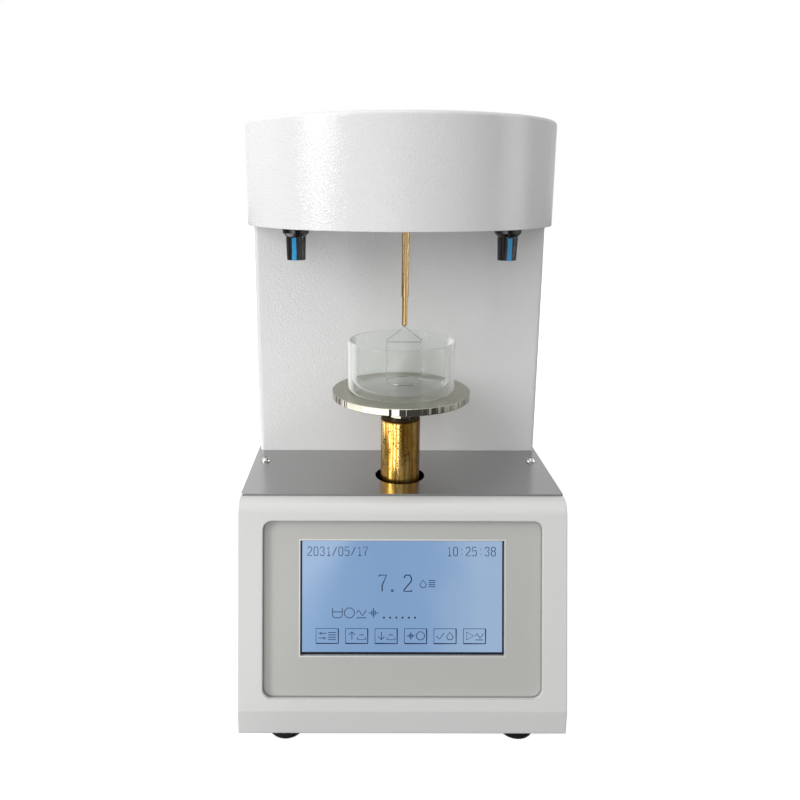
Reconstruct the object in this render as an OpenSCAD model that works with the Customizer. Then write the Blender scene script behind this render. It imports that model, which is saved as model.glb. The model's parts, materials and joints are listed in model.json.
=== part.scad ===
// Surface tensiometer: a bench instrument that raises a sample dish on a motor-driven
// column until the liquid meets a thin metal ring, which hangs on a force sensor.
// Front is -Y and up is +Z. Inside the modules the lift axis is X = 0, Y = 0 and the
// bench top is Z = 0. in_place() then moves the lift axis so that the origin lies under
// the middle of the whole instrument.

/* [Base] */
// Width of the base housing
base_w = 172.8; // [160:0.2:200]
// Height from the housing's lower edge to the top of the deck
base_h = 121; // [119:1:135]
// Thickness of the folded sheet steel
sheet = 1.5; // [1:0.1:2]
// Distance from the lift axis forward to where the sloping face meets the deck's level
face_front = 35.3; // [33:0.1:45]
// Lean of the sloping face from the vertical, in degrees
face_lean = 12.66; // [6:0.02:18]
// Outer radius of the bend between the face and the top
bend_r = 8; // [5:0.5:9]
// Height of the upright strip below the sloping face
skirt_h = 13; // [10:1:14]
// Distance from the lift axis back to the rear wall
back_y = 115; // [112:1:135]
// Thickness of the bottom plate
bottom_t = 2; // [1.5:0.5:3]
// Height of the bottom plate's turned-up sides
bottom_flange_h = 14; // [12:1:20]
// Width of the lip that the deck rests on
deck_lip = 13; // [12:0.5:16]

/* [Deck] */
// Thickness of the stainless deck
deck_t = 1; // [0.8:0.1:1.5]
// Distance from the lift axis forward to the deck's front edge
deck_front = 26.8; // [25:0.2:27]
// Diameter of the hole round the lift column
deck_hole_d = 28; // [27:0.5:32]
// Distance of each deck screw from the side wall
deck_screw_inset = 6.9; // [6:0.1:9]
// Distance from the lift axis back to the deck screws
deck_screw_y = 22; // [15:1:30]

/* [Front panel] */
// Width of the window in the face
window_w = 147; // [140:1:150]
// Height of the window along the face
window_h = 93.4; // [85:0.2:94]
// Distance along the face from the deck's level to the window's middle
window_drop = 57.5; // [57:0.5:60]
// Corner radius of the window
window_r = 5; // [3:0.5:8]
// Depth of the panel behind the face
panel_recess = 3; // [2.5:0.5:5]
// Thickness of the panel
panel_t = 2; // [1.5:0.5:3]
// How far the panel reaches past the window at the sides
panel_side = 8.5; // [8:0.5:9]
// How far the panel reaches past the window above and below
panel_end = 3; // [2.5:0.5:4]
// Diameter of the panel's studs
stud_d = 3; // [3:0.5:4]
// Width of the display opening
display_w = 108; // [90:1:112]
// Height of the display opening
display_h = 61; // [50:1:64]
// Distance along the face from the deck's level to the display's middle
display_drop = 52.2; // [50:0.2:58]
// Thickness of the touch glass
glass_t = 1.2; // [1:0.1:2]
// Depth of the display's metal frame
lcd_t = 8; // [6:0.5:10]

/* [Feet] */
// Diameter of a levelling foot
foot_d = 18; // [14:1:22]
// Height of the housing above the bench
foot_h = 6; // [5:0.5:9]
// Diameter of a foot's threaded stud
foot_stud_d = 6; // [5:1:8]
// Distance of each foot from the side of the inner upright channel
foot_from_channel = 7; // [6:0.5:10]
// Distance of the front feet in front of the lift axis
foot_front = 49; // [46:1:49]
// Distance of the rear feet from the rear wall
foot_rear_inset = 20; // [15:1:25]
// Number of grip ridges round a foot
foot_ridges = 40; // [24:4:60]

/* [Column and head] */
// Width of the upright column
column_w = 170.4; // [150:0.2:171]
// Distance from the lift axis back to the column's front
column_y = 39.6; // [39.4:0.2:45]
// Bend radius of the column's upright edges
column_r = 2.5; // [2:0.5:4]
// Height of the head's lower edge above the deck
head_gap = 139.2; // [135:0.2:160]
// Height of the head
head_h = 56.8; // [55:0.2:70]
// Radius of the head's round front
head_r = 89.6; // [89.6:0.2:95]
// Distance from the lift axis back to the centre of the round front
head_y = 54.5; // [50:0.5:56]
// Radius of the head's upper edge
head_edge_r = 2; // [1.6:0.2:4]
// Thickness of the head's floor
floor_t = 2; // [1.5:0.5:3]
// Height of the floor's turned-up sides
floor_flange_h = 16; // [14:1:20]
// Width of the inner upright channel
channel_w = 110; // [104:1:116]
// Distance from the lift axis back to the upright channel
channel_y = 52; // [48:1:54]
// Depth of the upright channel
channel_depth = 48; // [44:1:50]

/* [Knobs] */
// Distance of each knob in from the side of the head
knob_inset = 31.6; // [28:0.2:40]
// Distance of the knobs behind the lift axis
knob_y = 12; // [8:1:16]
// Height of a knob
knob_h = 17; // [15:0.5:19]
// Diameter of a knob's skirt
knob_skirt_d = 15; // [14:0.5:17]
// Height of a knob's skirt
knob_skirt_h = 2.4; // [2.2:0.2:3]
// Diameter of a knob's grip next to the skirt
knob_grip_d = 11; // [10.5:0.1:12]
// Diameter of a knob's grip at its end
knob_end_d = 10.2; // [9.8:0.1:10.4]
// Number of flutes round a knob
knob_flutes = 18; // [12:1:20]
// Angle of the left pointer from straight ahead
left_pointer = -6; // [-30:1:30]
// Angle of the right pointer from straight ahead
right_pointer = 4; // [-30:1:30]
// Diameter of a knob's shaft
shaft_d = 6; // [6:0.1:6.4]

/* [Ring and its suspension] */
// How far to the right of the lift axis the ring hangs
ring_x = 1.5; // [-3:0.5:3]
// Diameter of the measuring ring, to the middle of its wire
ring_d = 19.1; // [13:0.1:20]
// Thickness of the ring's wire
wire_d = 0.45; // [0.4:0.05:0.8]
// Height of the ring above the deck
ring_rise = 55.5; // [55:0.1:60]
// Height of the ring's legs
ring_leg_h = 23.2; // [20:0.2:26]
// Distance of the cross wire below the legs' upper ends
ring_bar_drop = 1.1; // [0.8:0.1:3]
// Height from the legs' upper ends to the shank's lower end
ring_apex_h = 7.9; // [6:0.1:10]
// Length of the shank that shows
shank_l = 16.1; // [12:0.1:20]
// Diameter of the ring's shank
shank_d = 3; // [2.4:0.1:3.2]
// Diameter of the hanging rod
rod_d = 4; // [4:0.1:5]
// Diameter of the hole in the head's floor for the rod
rod_hole_d = 12; // [11:0.5:14]
// Height of the lower pivot above the head's lower edge
pivot_rise = 13.8; // [13:0.2:16]
// Distance between the two pivots of the link
pivot_gap = 8; // [8:0.2:10]
// Diameter of the pivot pins
pin_d = 2; // [1.8:0.1:2.2]
// Width of the suspension link
link_w = 6; // [5.5:0.1:6.5]
// Length of the force sensor's beam
beam_l = 80; // [76:1:90]
// Width and height of the force sensor's beam
beam_w = 12.7; // [12:0.1:14]

/* [Sample table and dish] */
// Diameter of the sample table
table_d = 76.3; // [60:0.1:77]
// Thickness of the sample table
table_t = 3.9; // [3:0.1:5]
// Height of the table's top above the deck
table_rise = 50.8; // [50.6:0.1:51.4]
// Diameter of the boss under the table
boss_d = 14; // [12:0.5:18]
// Diameter of the pin that seats in the column
seat_pin_d = 10; // [8:0.5:11]
// Length of the pin that seats in the column
seat_pin_l = 18; // [12:1:20]
// Diameter of the glass dish
dish_d = 58.8; // [50:0.1:70]
// Height of the glass dish
dish_h = 28.1; // [24:0.1:34]
// Thickness of the dish's wall and bottom
dish_wall = 2; // [1.5:0.1:2.2]
// Inner radius between the dish's wall and bottom
dish_corner_r = 6; // [3:0.5:8]

/* [Lift] */
// Diameter of the lift column
lift_d = 22; // [20:0.5:24]
// Height of the lift column's top above the deck
lift_rise = 34.7; // [33:0.1:36]
// Bore of the lift column
lift_bore_d = 12; // [11.5:0.5:14]
// Lowest travel of the table from where it is drawn
travel_down = 30; // [20:1:31]
// Highest travel of the table from where it is drawn
travel_up = 1.5; // [0.5:0.1:1.6]
// Thickness of the carriage
carriage_t = 8; // [7:0.5:10]
// Width of the carriage
carriage_w = 80; // [78:1:86]
// Front-to-back size of the carriage
carriage_depth = 30; // [28:1:32]
// Distance of each guide rod from the lift axis
guide_x = 30; // [26:0.5:32]
// Diameter of the guide rods
guide_d = 8; // [6:0.5:10]
// Thickness of the guide plate
guide_plate_t = 6; // [5:0.5:8]
// Width of the motor plate and the guide plate
plate_w = 96; // [94:1:104]
// Front-to-back size of the motor plate and the guide plate
plate_depth = 44; // [43:1:48]
// Diameter of the lead screw
screw_d = 8; // [6:0.5:9]
// Thickness of the motor plate
motor_plate_t = 4; // [3:0.5:6]
// Side of the square motor
motor_w = 42; // [39:0.5:42]
// Height of the motor
motor_h = 34; // [28:1:36]

/* [Rear connectors] */
// Height of the connectors' middle above the housing's lower edge
port_z = 34; // [28:1:40]
// Place of the mains inlet, sideways
inlet_x = -34; // [-36:1:-30]
// Place of the mains switch, sideways
switch_x = 0; // [-4:1:4]
// Place of the serial port, sideways
serial_x = 33; // [30:1:34]
// Angle that the switch turns through
switch_angle = 18; // [14:1:20]

/* [Fits] */
// Radial gap of a turning or sliding fit
running_gap = 0.05; // [0.03:0.01:0.08]
// Gap between pieces that are put together by hand
loose_gap = 0.3; // [0.2:0.05:0.5]

/* [Hidden] */
$fn = 96;

eps = 0.01;          // how far a cut runs past the face it opens
over = 1;            // how far a through cut runs past the piece

// Heights of the main levels above the bench
base_z = foot_h;
deck_z = base_z + base_h;
roof_z = deck_z - deck_t;
floor_in_z = base_z + bottom_t;
head_z = deck_z + head_gap;
floor_top_z = head_z + floor_t;

// Base housing
half_w = base_w / 2;
face_drop = tan(face_lean);
strip_z = base_z + skirt_h;
strip_y = -(face_front + (deck_z - strip_z) * face_drop);
bend_z = roof_z - bend_r;
bend_y = face_y(bend_z) + bend_r / cos(face_lean);
opening_front = deck_front - deck_lip + 4;
foot_rear = back_y - foot_rear_inset;
foot_x = channel_w / 2 + foot_from_channel;
foot_gap = 0.5;
foot_nut_af = 10;
foot_nut_h = 5;

// Screws: shank diameter, head diameter and head height of the small pan heads
m3_d = 3;
m3_head_d = 5.6;
m3_head_h = 2.2;
m3_len = 6;
m3_slot_w = 0.7;
m3_slot_t = 0.8;
screw_cut_l = 20;
base_screw_z = base_z + bottom_flange_h * 0.6;
base_screw_front = 26;
base_screw_back = back_y - 28;

// Front panel and display, in the face's own frame
panel_w = window_w + 2 * panel_side;
panel_h = window_h + 2 * panel_end;
panel_back = -(panel_recess + panel_t);
stud_x = window_w / 2 + (sheet + panel_side) / 2 + 0.6;
stud_y = window_h / 2 - 12;
nut_af = 5.5;
nut_h = 2.4;
glass_margin = 2;
lcd_margin = 2.5;
lcd_board_margin = 11;
lcd_board_end = 9;
lcd_board_r = 2;
lcd_board_t = 1.6;
lcd_chip_w = 16;
lcd_chip_t = 2;
lcd_chip_pitch = 30;
lcd_chip_y = 8;
lcd_plug_w = 60;
lcd_plug_h = 6;
lcd_plug_t = 4;
lcd_plug_end = 4;
lcd_post_d = 5;
lcd_post_x = display_w / 2 + 7.5;
lcd_post_y = display_h / 2 + 6;
lcd_post_l = glass_t + lcd_t;

// Column, head and channel
column_top_z = head_z;
column_h = column_top_z - deck_z;
column_lip = 14;
column_screw_inset = 7;
column_screw_end = 14;
channel_back = channel_y + channel_depth;
channel_t = 2;
channel_slot_w = 40;
cable_hole_d = 18;
cable_hole_y = channel_back - 12;
head_in_r = head_r - sheet;
floor_r = head_in_r - loose_gap;
floor_flange_front = head_y + 4;
floor_flange_back = back_y - 8;
head_screw_z = head_z + floor_flange_h * 0.6;
head_screw_front = floor_flange_front + 9;
head_screw_back = floor_flange_back - 9;

// Knobs and their potentiometers
knob_x = head_r - knob_inset;
knob_gap = 0.8;
knob_top_z = head_z - knob_gap;
knob_end_z = knob_top_z - knob_h;
knob_recess_d = 12.2;
knob_cone_h = 1.8;
flute_r = 0.55;
flute_place = knob_grip_d / 2 + 0.1;
flute_gap = 0.17;
flute_stop = 0.6;
// The pointer's rib takes the place of one flute
pointer_w = 2 * (flute_place * sin(360 / knob_flutes) - flute_r - flute_gap);
pointer_t = 1.5;
pointer_out = 0.1;
pointer_cap_d = 6.4;
pointer_cap_t = 0.8;
bushing_d = shaft_d + 2;
bushing_drop = 3.6;
pot_d = 16.5;
pot_h = 8.5;
pot_nut_af = 10;
pot_nut_h = 2;
knob_room = 0.4;
knob_recess_h = pot_nut_h - knob_gap + knob_room;
knob_bore_d = bushing_d + 2 * knob_room;
knob_bore_h = bushing_drop - knob_gap + knob_room;
shaft_end_gap = 2;

// Suspension
ring_z = deck_z + ring_rise;
shoulder_z = ring_z + ring_leg_h;
apex_z = shoulder_z + ring_apex_h;
shank_top_z = apex_z + shank_l;
shank_plug = 8;
stem_l = 3;
leg_d = wire_d * 0.9;
bar_d = wire_d * 0.75;
low_pivot_z = head_z + pivot_rise;
high_pivot_z = low_pivot_z + pivot_gap;
link_end = 3.5;
link_side_gap = 0.3;
ear_t = 2;
ear_r = 3;
ear_in = link_w / 2 + link_side_gap;
ear_out = ear_in + ear_t;
clevis_reach = 5.4;
clevis_bridge = 2;
hook_stem_d = 6;
hook_stem_l = 4.8;
beam_z = high_pivot_z + clevis_reach + clevis_bridge + hook_stem_l;
beam_front = 7;
beam_back = beam_l - beam_front;
block_depth = 24;
block_w = 26;
block_foot_w = 46;
block_foot_t = 6;
flex_hole_d = 8;
flex_slot = 3;
flex_front = beam_l * 0.33;
flex_back = beam_l * 0.58;
sensor_board_x = -60;
sensor_board_y = 82;
sensor_board_w = 44;
sensor_board_l = 26;
sensor_board_gap = 6;
sensor_post_d = 4;
sensor_post_inset = 3;
sensor_chip_w = 12;
sensor_chip_t = 2;
sensor_chip_at = 8;
sensor_plug_w = 8;
sensor_plug_l = 16;
sensor_plug_h = 8;
sensor_plug_x = 16;
sensor_plug_y = 5;

// Sample table and dish
table_z = deck_z + table_rise;
table_low_z = table_z - table_t;
lift_top_z = deck_z + lift_rise;
boss_l = table_low_z - lift_top_z;
dish_r = dish_d / 2;
dish_foot_r = 2.5;
lip_r = dish_wall / 2;

// Lift
motor_gap = 2;
motor_z = floor_in_z + motor_gap;
motor_top_z = motor_z + motor_h;
motor_plate_top = motor_top_z + motor_plate_t;
nut_flange_t = 3.5;
nut_flange_d = 22;
nut_body_d = screw_d + 3;
nut_body_l = 12;
carriage_seat = 4;
low_stop_gap = 3.5;
carriage_z = motor_plate_top + low_stop_gap + travel_down + nut_flange_t;
carriage_top = carriage_z + carriage_t;
lift_bottom_z = carriage_top - carriage_seat;
bush_wall = 2.5;
bush_flange = 3;
bush_flange_t = 2;
bush_top = 4;
guide_plate_z = roof_z - sheet - bush_top - 8 - guide_plate_t;
bush_low_z = guide_plate_z - bush_flange_t;
lead_top_z = carriage_top + travel_up + nut_body_l - carriage_t + 7;
lead_low_z = motor_z + 3;
rod_bush_wall = 2;
rod_bush_flange = 1.5;
rod_bush_flange_t = 1.5;
post_d = 8;
post_x = plate_w / 2 - 4.5;
post_y = plate_depth / 2 - 4.5;
pilot_d = 22;
pilot_h = 2;
motor_corner = 4;
switch_w = 20;
switch_t = 5;
switch_gap = 1;
switch_plate_t = 1.5;
switch_front = carriage_depth / 2 + 1.5;
flag_w = 8;
flag_l = 4;
flag_t = 3;

// Electronics
board_t = 1.6;
board_l = 92;
board_h = 74;
board_gap = 12;
board_x = half_w - sheet - board_gap - board_t;
board_y = 14;
board_z = floor_in_z + 52;
board_post_d = 5;
board_post_inset = 5;
board_post_y = board_l / 2 - board_post_inset;
board_post_z = board_h / 2 - board_post_inset;
// Each chip: place along the board, place up it, height
board_chips = [[-20, 12, 14], [6, 10, 10], [26, 16, 8]];
board_chip_t = 2;
board_chip_extra = 4;
board_cap_ys = [-30, -18];
board_cap_z = -16;
board_cap_d = 8;
board_cap_l = 8;
board_plug_ys = [-2, 14, 30];
board_plug_z = -26;
board_plug_w = 12;
board_plug_h = 8;
board_plug_l = 6;
supply_w = 92;
supply_h = 48;
supply_depth = 27;
supply_z = floor_in_z + 84;
supply_slot_half = 4;
supply_slot_pitch = 8;
supply_slot_w = 3;
supply_slot_t = 1;
supply_slot_end = 7;

// Rear connectors
port_mid_z = base_z + port_z;
inlet_body_w = 27.4;
inlet_body_h = 19.8;
inlet_depth = 16;
inlet_flange_w = 32;
inlet_flange_h = 25;
inlet_flange_t = 2.5;
inlet_socket_w = 23.6;
inlet_socket_h = 16;
inlet_socket_depth = 15;
inlet_blade_gap = 7;
blade_w = 2;
blade_h = 4;
blade_l = 12;
switch_body_w = 13;
switch_body_h = 19;
switch_flange_w = 15;
switch_flange_h = 21;
switch_flange_t = 2;
switch_depth = 12;
rocker_w = 9.6;
rocker_pocket_w = 10.4;
rocker_pocket_h = 15;
rocker_pocket_depth = 9;
rocker_pin_d = 2.4;
rocker_pin_l = 1.2;
rocker_y = back_y - 1;
serial_plate_w = 31;
serial_plate_h = 12.5;
serial_plate_t = 1;
serial_shell_l = 6;
serial_shell_w = 17;
serial_shell_h = 8.5;
serial_body_w = 19.6;
serial_body_h = 10.4;
serial_body_depth = 9;
jack_d = 5;
jack_l = 5;
vent_w = 26;
vent_h = 3;
vent_step = 7;
vent_count = 5;

// The origin lies under the middle of the whole instrument, front to back
rear_y = back_y + serial_plate_t + serial_shell_l;
lift_y = -(strip_y + rear_y) / 2;

// Outer surface of the sloping face at a height above the bench
function face_y(z) = -(face_front + (deck_z - z) * face_drop);

// ---------- helpers ----------

// Moves the lift axis to its place in the instrument's frame
module in_place() {
    translate([0, lift_y, 0]) children();
}

// Puts a flat outline, drawn as (front-to-back, height), across the width w
module across(w) {
    rotate([90, 0, 90]) linear_extrude(height = w, center = true) children();
}

// The face's own frame: X to the right, Y up the slope, Z out of the face
module on_face() {
    translate([0, -face_front, deck_z]) rotate([90 - face_lean, 0, 0]) children();
}

// Places its children on the rear wall, with Z out of the wall and Y up
module on_back(x, z) {
    translate([x, back_y, z]) rotate([90, 0, 180]) children();
}

// Rectangle with round corners, about its middle
module round_rect(w, h, r) {
    square([w - 2 * r, h], center = true);
    square([w, h - 2 * r], center = true);
    for (sx = [-1, 1], sy = [-1, 1])
        translate([sx * (w / 2 - r), sy * (h / 2 - r)]) circle(r = r);
}

// Cylinder along X or Y, centred on its own middle
module rod_x(d, l) {
    rotate([0, 90, 0]) cylinder(d = d, h = l, center = true);
}

module rod_y(d, l) {
    rotate([90, 0, 0]) cylinder(d = d, h = l, center = true);
}

// Hexagon across its flats
module hexagon(af, h) {
    cylinder(d = af / cos(30), h = h, $fn = 6);
}

// Pan-head screw along -Z, its head on the plane Z = 0, with a cross recess
module pan_screw(l) {
    difference() {
        union() {
            cylinder(d = m3_head_d, h = m3_head_h * 0.45);
            translate([0, 0, m3_head_h * 0.45])
                cylinder(d1 = m3_head_d, d2 = m3_head_d * 0.62, h = m3_head_h * 0.55);
            translate([0, 0, -l]) cylinder(d = m3_d, h = l + eps);
        }
        for (a = [0, 90])
            rotate([0, 0, a]) translate([0, 0, m3_head_h])
                cube([m3_head_d * 0.5, m3_slot_w, 2 * m3_slot_t], center = true);
    }
}

// Both sides of the instrument
module both_sides() {
    for (s = [-1, 1]) on_side(s) children();
}

// Its children on one side: drawn for the right, mirrored for the left
module on_side(s) {
    if (s > 0) children();
    else mirror([1, 0, 0]) children();
}

// ---------- base ----------

// Outline of the housing from the side, drawn in by i; low is its lower edge
module base_outline(i, low) {
    slope_y = i / cos(face_lean);
    corner_z = deck_z + (strip_y + i - slope_y + face_front) / face_drop;
    r = bend_r - i;
    polygon([
        [bend_y, roof_z - i],
        [back_y - i, roof_z - i],
        [back_y - i, low],
        [strip_y + i, low],
        [strip_y + i, corner_z],
        [bend_y - r * cos(face_lean), bend_z + r * sin(face_lean)],
        [bend_y, bend_z]
    ]);
    translate([bend_y, bend_z]) circle(r = r);
}

// Positions of the screws in the housing's sides
module at_base_screws() {
    for (y = [-base_screw_front, base_screw_back])
        both_sides() translate([half_w, y, base_screw_z]) rotate([0, 90, 0]) children();
}

module at_deck_screws() {
    both_sides() translate([half_w - deck_screw_inset, deck_screw_y, deck_z]) children();
}

module at_panel_studs() {
    for (sx = [-1, 1], sy = [-1, 1])
        translate([sx * stud_x, sy * stud_y - window_drop, 0]) children();
}

module vent_rows(count, x) {
    for (i = [0 : count - 1], sx = [-1, 1])
        translate([sx * x, i * vent_step, 0])
            linear_extrude(height = 4 * sheet, center = true) round_rect(vent_w, vent_h, vent_h / 2 - eps);
}

module base_housing() {
    color("whitesmoke") in_place() {
        difference() {
            across(base_w) base_outline(0, base_z);
            across(base_w - 2 * sheet) base_outline(sheet, base_z - over);
            // Top opening under the deck
            translate([-(half_w - deck_lip), -opening_front, roof_z - 2 * sheet])
                cube([base_w - 2 * deck_lip, back_y - 8 + opening_front, 4 * sheet]);
            // Window
            on_face() translate([0, -window_drop, -2 * sheet])
                linear_extrude(height = 4 * sheet)
                    round_rect(window_w, window_h, window_r);
            at_deck_screws() cylinder(d = m3_d, h = 20, center = true);
            at_base_screws() cylinder(d = m3_d, h = 20, center = true);
            // Openings for the connectors
            on_back(inlet_x, port_mid_z)
                cube([inlet_body_w, inlet_body_h, 4 * sheet], center = true);
            on_back(switch_x, port_mid_z)
                cube([switch_body_w, switch_body_h, 4 * sheet], center = true);
            on_back(serial_x, port_mid_z)
                cube([serial_body_w, serial_body_h, 4 * sheet], center = true);
            on_back(0, port_mid_z + 34) vent_rows(vent_count, vent_w * 0.75);
        }
        // Turned-in rim of the window and the studs that hold the panel
        on_face() {
            difference() {
                translate([0, -window_drop, -panel_recess])
                    linear_extrude(height = panel_recess - sheet + eps)
                        round_rect(window_w + 2 * sheet, window_h + 2 * sheet, window_r + sheet);
                translate([0, -window_drop, -panel_recess - over])
                    linear_extrude(height = panel_recess + 2 * over)
                        round_rect(window_w, window_h, window_r);
            }
            at_panel_studs() translate([0, 0, panel_back - nut_h - 1])
                cylinder(d = stud_d, h = -panel_back + nut_h + 1 - sheet + eps);
        }
    }
}

module bottom_plate() {
    side_x = half_w - sheet;
    color("silver") in_place() difference() {
        union() {
            translate([-side_x, strip_y + sheet, base_z])
                cube([2 * side_x, back_y - strip_y - 2 * sheet, bottom_t]);
            both_sides()
                translate([side_x - sheet, strip_y + sheet + 12, base_z])
                    cube([sheet, back_y - strip_y - 2 * sheet - 24, bottom_flange_h]);
        }
        at_base_screws() cylinder(d = m3_d, h = 20, center = true);
        at_feet() translate([0, 0, base_z - over])
            cylinder(d = foot_stud_d + 2 * loose_gap, h = bottom_t + 2 * over);
        for (i = [0 : 5])
            translate([0, -26 + 9 * i, base_z + bottom_t / 2]) both_sides()
                translate([61, 0, 0]) linear_extrude(height = bottom_t + 2, center = true)
                    round_rect(20, 3, 1.4);
    }
}

module base_screws() {
    color("gainsboro") in_place() at_base_screws() pan_screw(m3_len);
}

// ---------- deck ----------

module deck_plate() {
    deck_l = back_y + deck_front;
    color("darkgray") in_place() difference() {
        translate([0, back_y - deck_l / 2, roof_z])
            linear_extrude(height = deck_t) round_rect(base_w, deck_l, 1);
        translate([0, 0, roof_z - over]) cylinder(d = deck_hole_d, h = deck_t + 2 * over);
        at_deck_screws() cylinder(d = m3_d, h = 20, center = true);
        // Opening for the upright channel
        translate([-channel_w / 2 - 1, channel_y - 1, roof_z - over])
            cube([channel_w + 2, channel_depth + 2, deck_t + 2 * over]);
    }
}

module deck_screws() {
    color("gainsboro") in_place() at_deck_screws() pan_screw(m3_len);
}

// ---------- front panel and display ----------

module at_lcd_posts() {
    for (sx = [-1, 1], sy = [-1, 1])
        translate([sx * lcd_post_x, sy * lcd_post_y - display_drop, 0]) children();
}

module front_panel() {
    color("silver") in_place() on_face() {
        difference() {
            translate([0, -window_drop, panel_back])
                linear_extrude(height = panel_t) round_rect(panel_w, panel_h, 2);
            translate([0, -display_drop, panel_back - over])
                linear_extrude(height = panel_t + 2 * over) round_rect(display_w, display_h, 0.6);
            at_panel_studs() translate([0, 0, panel_back - over])
                cylinder(d = stud_d + 2 * loose_gap, h = panel_t + 2 * over);
        }
        at_lcd_posts() translate([0, 0, panel_back - lcd_post_l])
            cylinder(d = lcd_post_d, h = lcd_post_l + eps);
    }
}

module panel_nuts() {
    color("silver") in_place() on_face() at_panel_studs()
        translate([0, 0, panel_back - nut_h]) difference() {
            hexagon(nut_af, nut_h);
            translate([0, 0, -over]) cylinder(d = stud_d, h = nut_h + 2 * over);
        }
}

module touch_screen() {
    color("lightsteelblue") in_place() on_face()
        translate([0, -display_drop, panel_back - glass_t])
            linear_extrude(height = glass_t)
                round_rect(display_w + 2 * glass_margin, display_h + 2 * glass_margin, 1);
}

module lcd_module() {
    w = display_w + 2 * lcd_margin;
    h = display_h + 2 * lcd_margin;
    board_w = display_w + 2 * lcd_board_margin;
    board_low = panel_back - lcd_post_l - lcd_board_t;
    color("seagreen") in_place() on_face() translate([0, -display_drop, 0]) {
        translate([0, 0, panel_back - lcd_post_l - eps])
            linear_extrude(height = lcd_t + eps) round_rect(w, h, 1);
        translate([0, 0, board_low]) linear_extrude(height = lcd_board_t)
            round_rect(board_w, display_h + 2 * lcd_board_end, lcd_board_r);
        // Components on the back of the board
        for (i = [-1, 0, 1])
            translate([i * lcd_chip_pitch, lcd_chip_y, board_low - lcd_chip_t / 2])
                cube([lcd_chip_w, lcd_chip_w, lcd_chip_t + eps], center = true);
        translate([0, lcd_plug_end - display_h / 2, board_low - lcd_plug_t / 2])
            cube([lcd_plug_w, lcd_plug_h, lcd_plug_t + eps], center = true);
    }
}

// ---------- feet ----------

module at_foot(side, y) {
    translate([side * foot_x, y, 0]) children();
}

module at_feet() {
    for (s = [-1, 1], y = [-foot_front, foot_rear]) at_foot(s, y) children();
}

// Levelling foot: a ridged disc on a threaded stud
module foot(side, y) {
    disc_h = foot_h - foot_gap;
    r = foot_d / 2;
    ridge = 0.5;
    points = [for (i = [0 : 2 * foot_ridges - 1])
        let (a = 180 * i / foot_ridges, q = i % 2 == 0 ? r : r - ridge) [q * cos(a), q * sin(a)]];
    color("dimgray") in_place() at_foot(side, y) {
        cylinder(r1 = r - 2, r2 = r - 1, h = 1);
        translate([0, 0, 1 - eps]) linear_extrude(height = disc_h - 1 + eps) polygon(points);
        translate([0, 0, disc_h - eps])
            cylinder(d = foot_stud_d, h = foot_gap + bottom_t + foot_nut_h + 6);
    }
}

module foot_front_left() foot(-1, -foot_front);
module foot_front_right() foot(1, -foot_front);
module foot_rear_left() foot(-1, foot_rear);
module foot_rear_right() foot(1, foot_rear);

module foot_nuts() {
    color("silver") in_place() at_feet() translate([0, 0, floor_in_z]) difference() {
        hexagon(foot_nut_af, foot_nut_h);
        translate([0, 0, -over])
            cylinder(d = foot_stud_d + 2 * running_gap, h = foot_nut_h + 2 * over);
    }
}

// ---------- column ----------

// Channel that stands on the bottom plate and carries the head
module column_frame() {
    h = head_z - floor_in_z;
    color("lightgray") in_place() translate([0, channel_y, floor_in_z]) difference() {
        translate([-channel_w / 2, 0, 0]) cube([channel_w, channel_depth, h]);
        // Inside of the channel, open to the rear, between its two end plates
        translate([-channel_w / 2 + channel_t, channel_t, channel_t])
            cube([channel_w - 2 * channel_t, channel_depth, h - 2 * channel_t]);
        // Cable openings in the web and in the end plates
        for (z = [70, 150, 200])
            translate([0, 0, z]) rotate([90, 0, 0])
                linear_extrude(height = 6 * channel_t, center = true)
                    round_rect(channel_slot_w, 22, 6);
        translate([0, cable_hole_y - channel_y, h])
            cylinder(d = cable_hole_d, h = 4 * channel_t, center = true);
    }
}

module at_column_screws() {
    for (s = [-1, 1], z = [deck_z + column_screw_end, column_top_z - column_screw_end])
        translate([s * (column_w / 2 - column_screw_inset), back_y, z]) rotate([-90, 0, 0]) children();
}

// Outline of the column from above, drawn in by i
module column_outline(i) {
    w = column_w - 2 * i;
    r = column_r - i;
    front = column_y + i;
    translate([-w / 2, front + r]) square([w, back_y - front - r]);
    translate([-w / 2 + r, front]) square([w - 2 * r, r + eps]);
    for (s = [-1, 1]) translate([s * (w / 2 - r), front + r]) circle(r = r);
}

module column_cover() {
    color("whitesmoke") in_place() translate([0, 0, deck_z]) difference() {
        linear_extrude(height = column_h) column_outline(0);
        difference() {
            translate([0, 0, -over])
                linear_extrude(height = column_h + 2 * over) column_outline(sheet);
            // Turned-in rear edges that the back is screwed to
            both_sides()
                translate([column_w / 2 - column_lip, back_y - 2 * sheet, -2 * over])
                    cube([column_lip, sheet, column_h + 4 * over]);
        }
        translate([-column_w / 2 - over, back_y - sheet, -over])
            cube([column_w + 2 * over, sheet + over, column_h + 2 * over]);
        translate([0, 0, -deck_z]) at_column_screws() cylinder(d = m3_d, h = 20, center = true);
    }
}

module column_back() {
    color("gainsboro") in_place() difference() {
        translate([0, back_y - sheet, deck_z + column_h / 2]) rotate([-90, 0, 0])
            linear_extrude(height = sheet) square([column_w, column_h], center = true);
        at_column_screws() cylinder(d = m3_d, h = 20, center = true);
        on_back(0, deck_z + column_h - 56) vent_rows(vent_count, vent_w * 0.75);
    }
}

module column_screws() {
    color("gainsboro") in_place() at_column_screws() pan_screw(m3_len);
}

// ---------- head ----------

// Outline of the head from above: half a disc in front, straight sides behind
module head_outline(r, back) {
    intersection() {
        translate([0, head_y]) circle(r = r);
        translate([-r - over, head_y - r - over]) square([2 * r + 2 * over, r + over + eps]);
    }
    translate([-r, head_y]) square([2 * r, back - head_y]);
}

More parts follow.
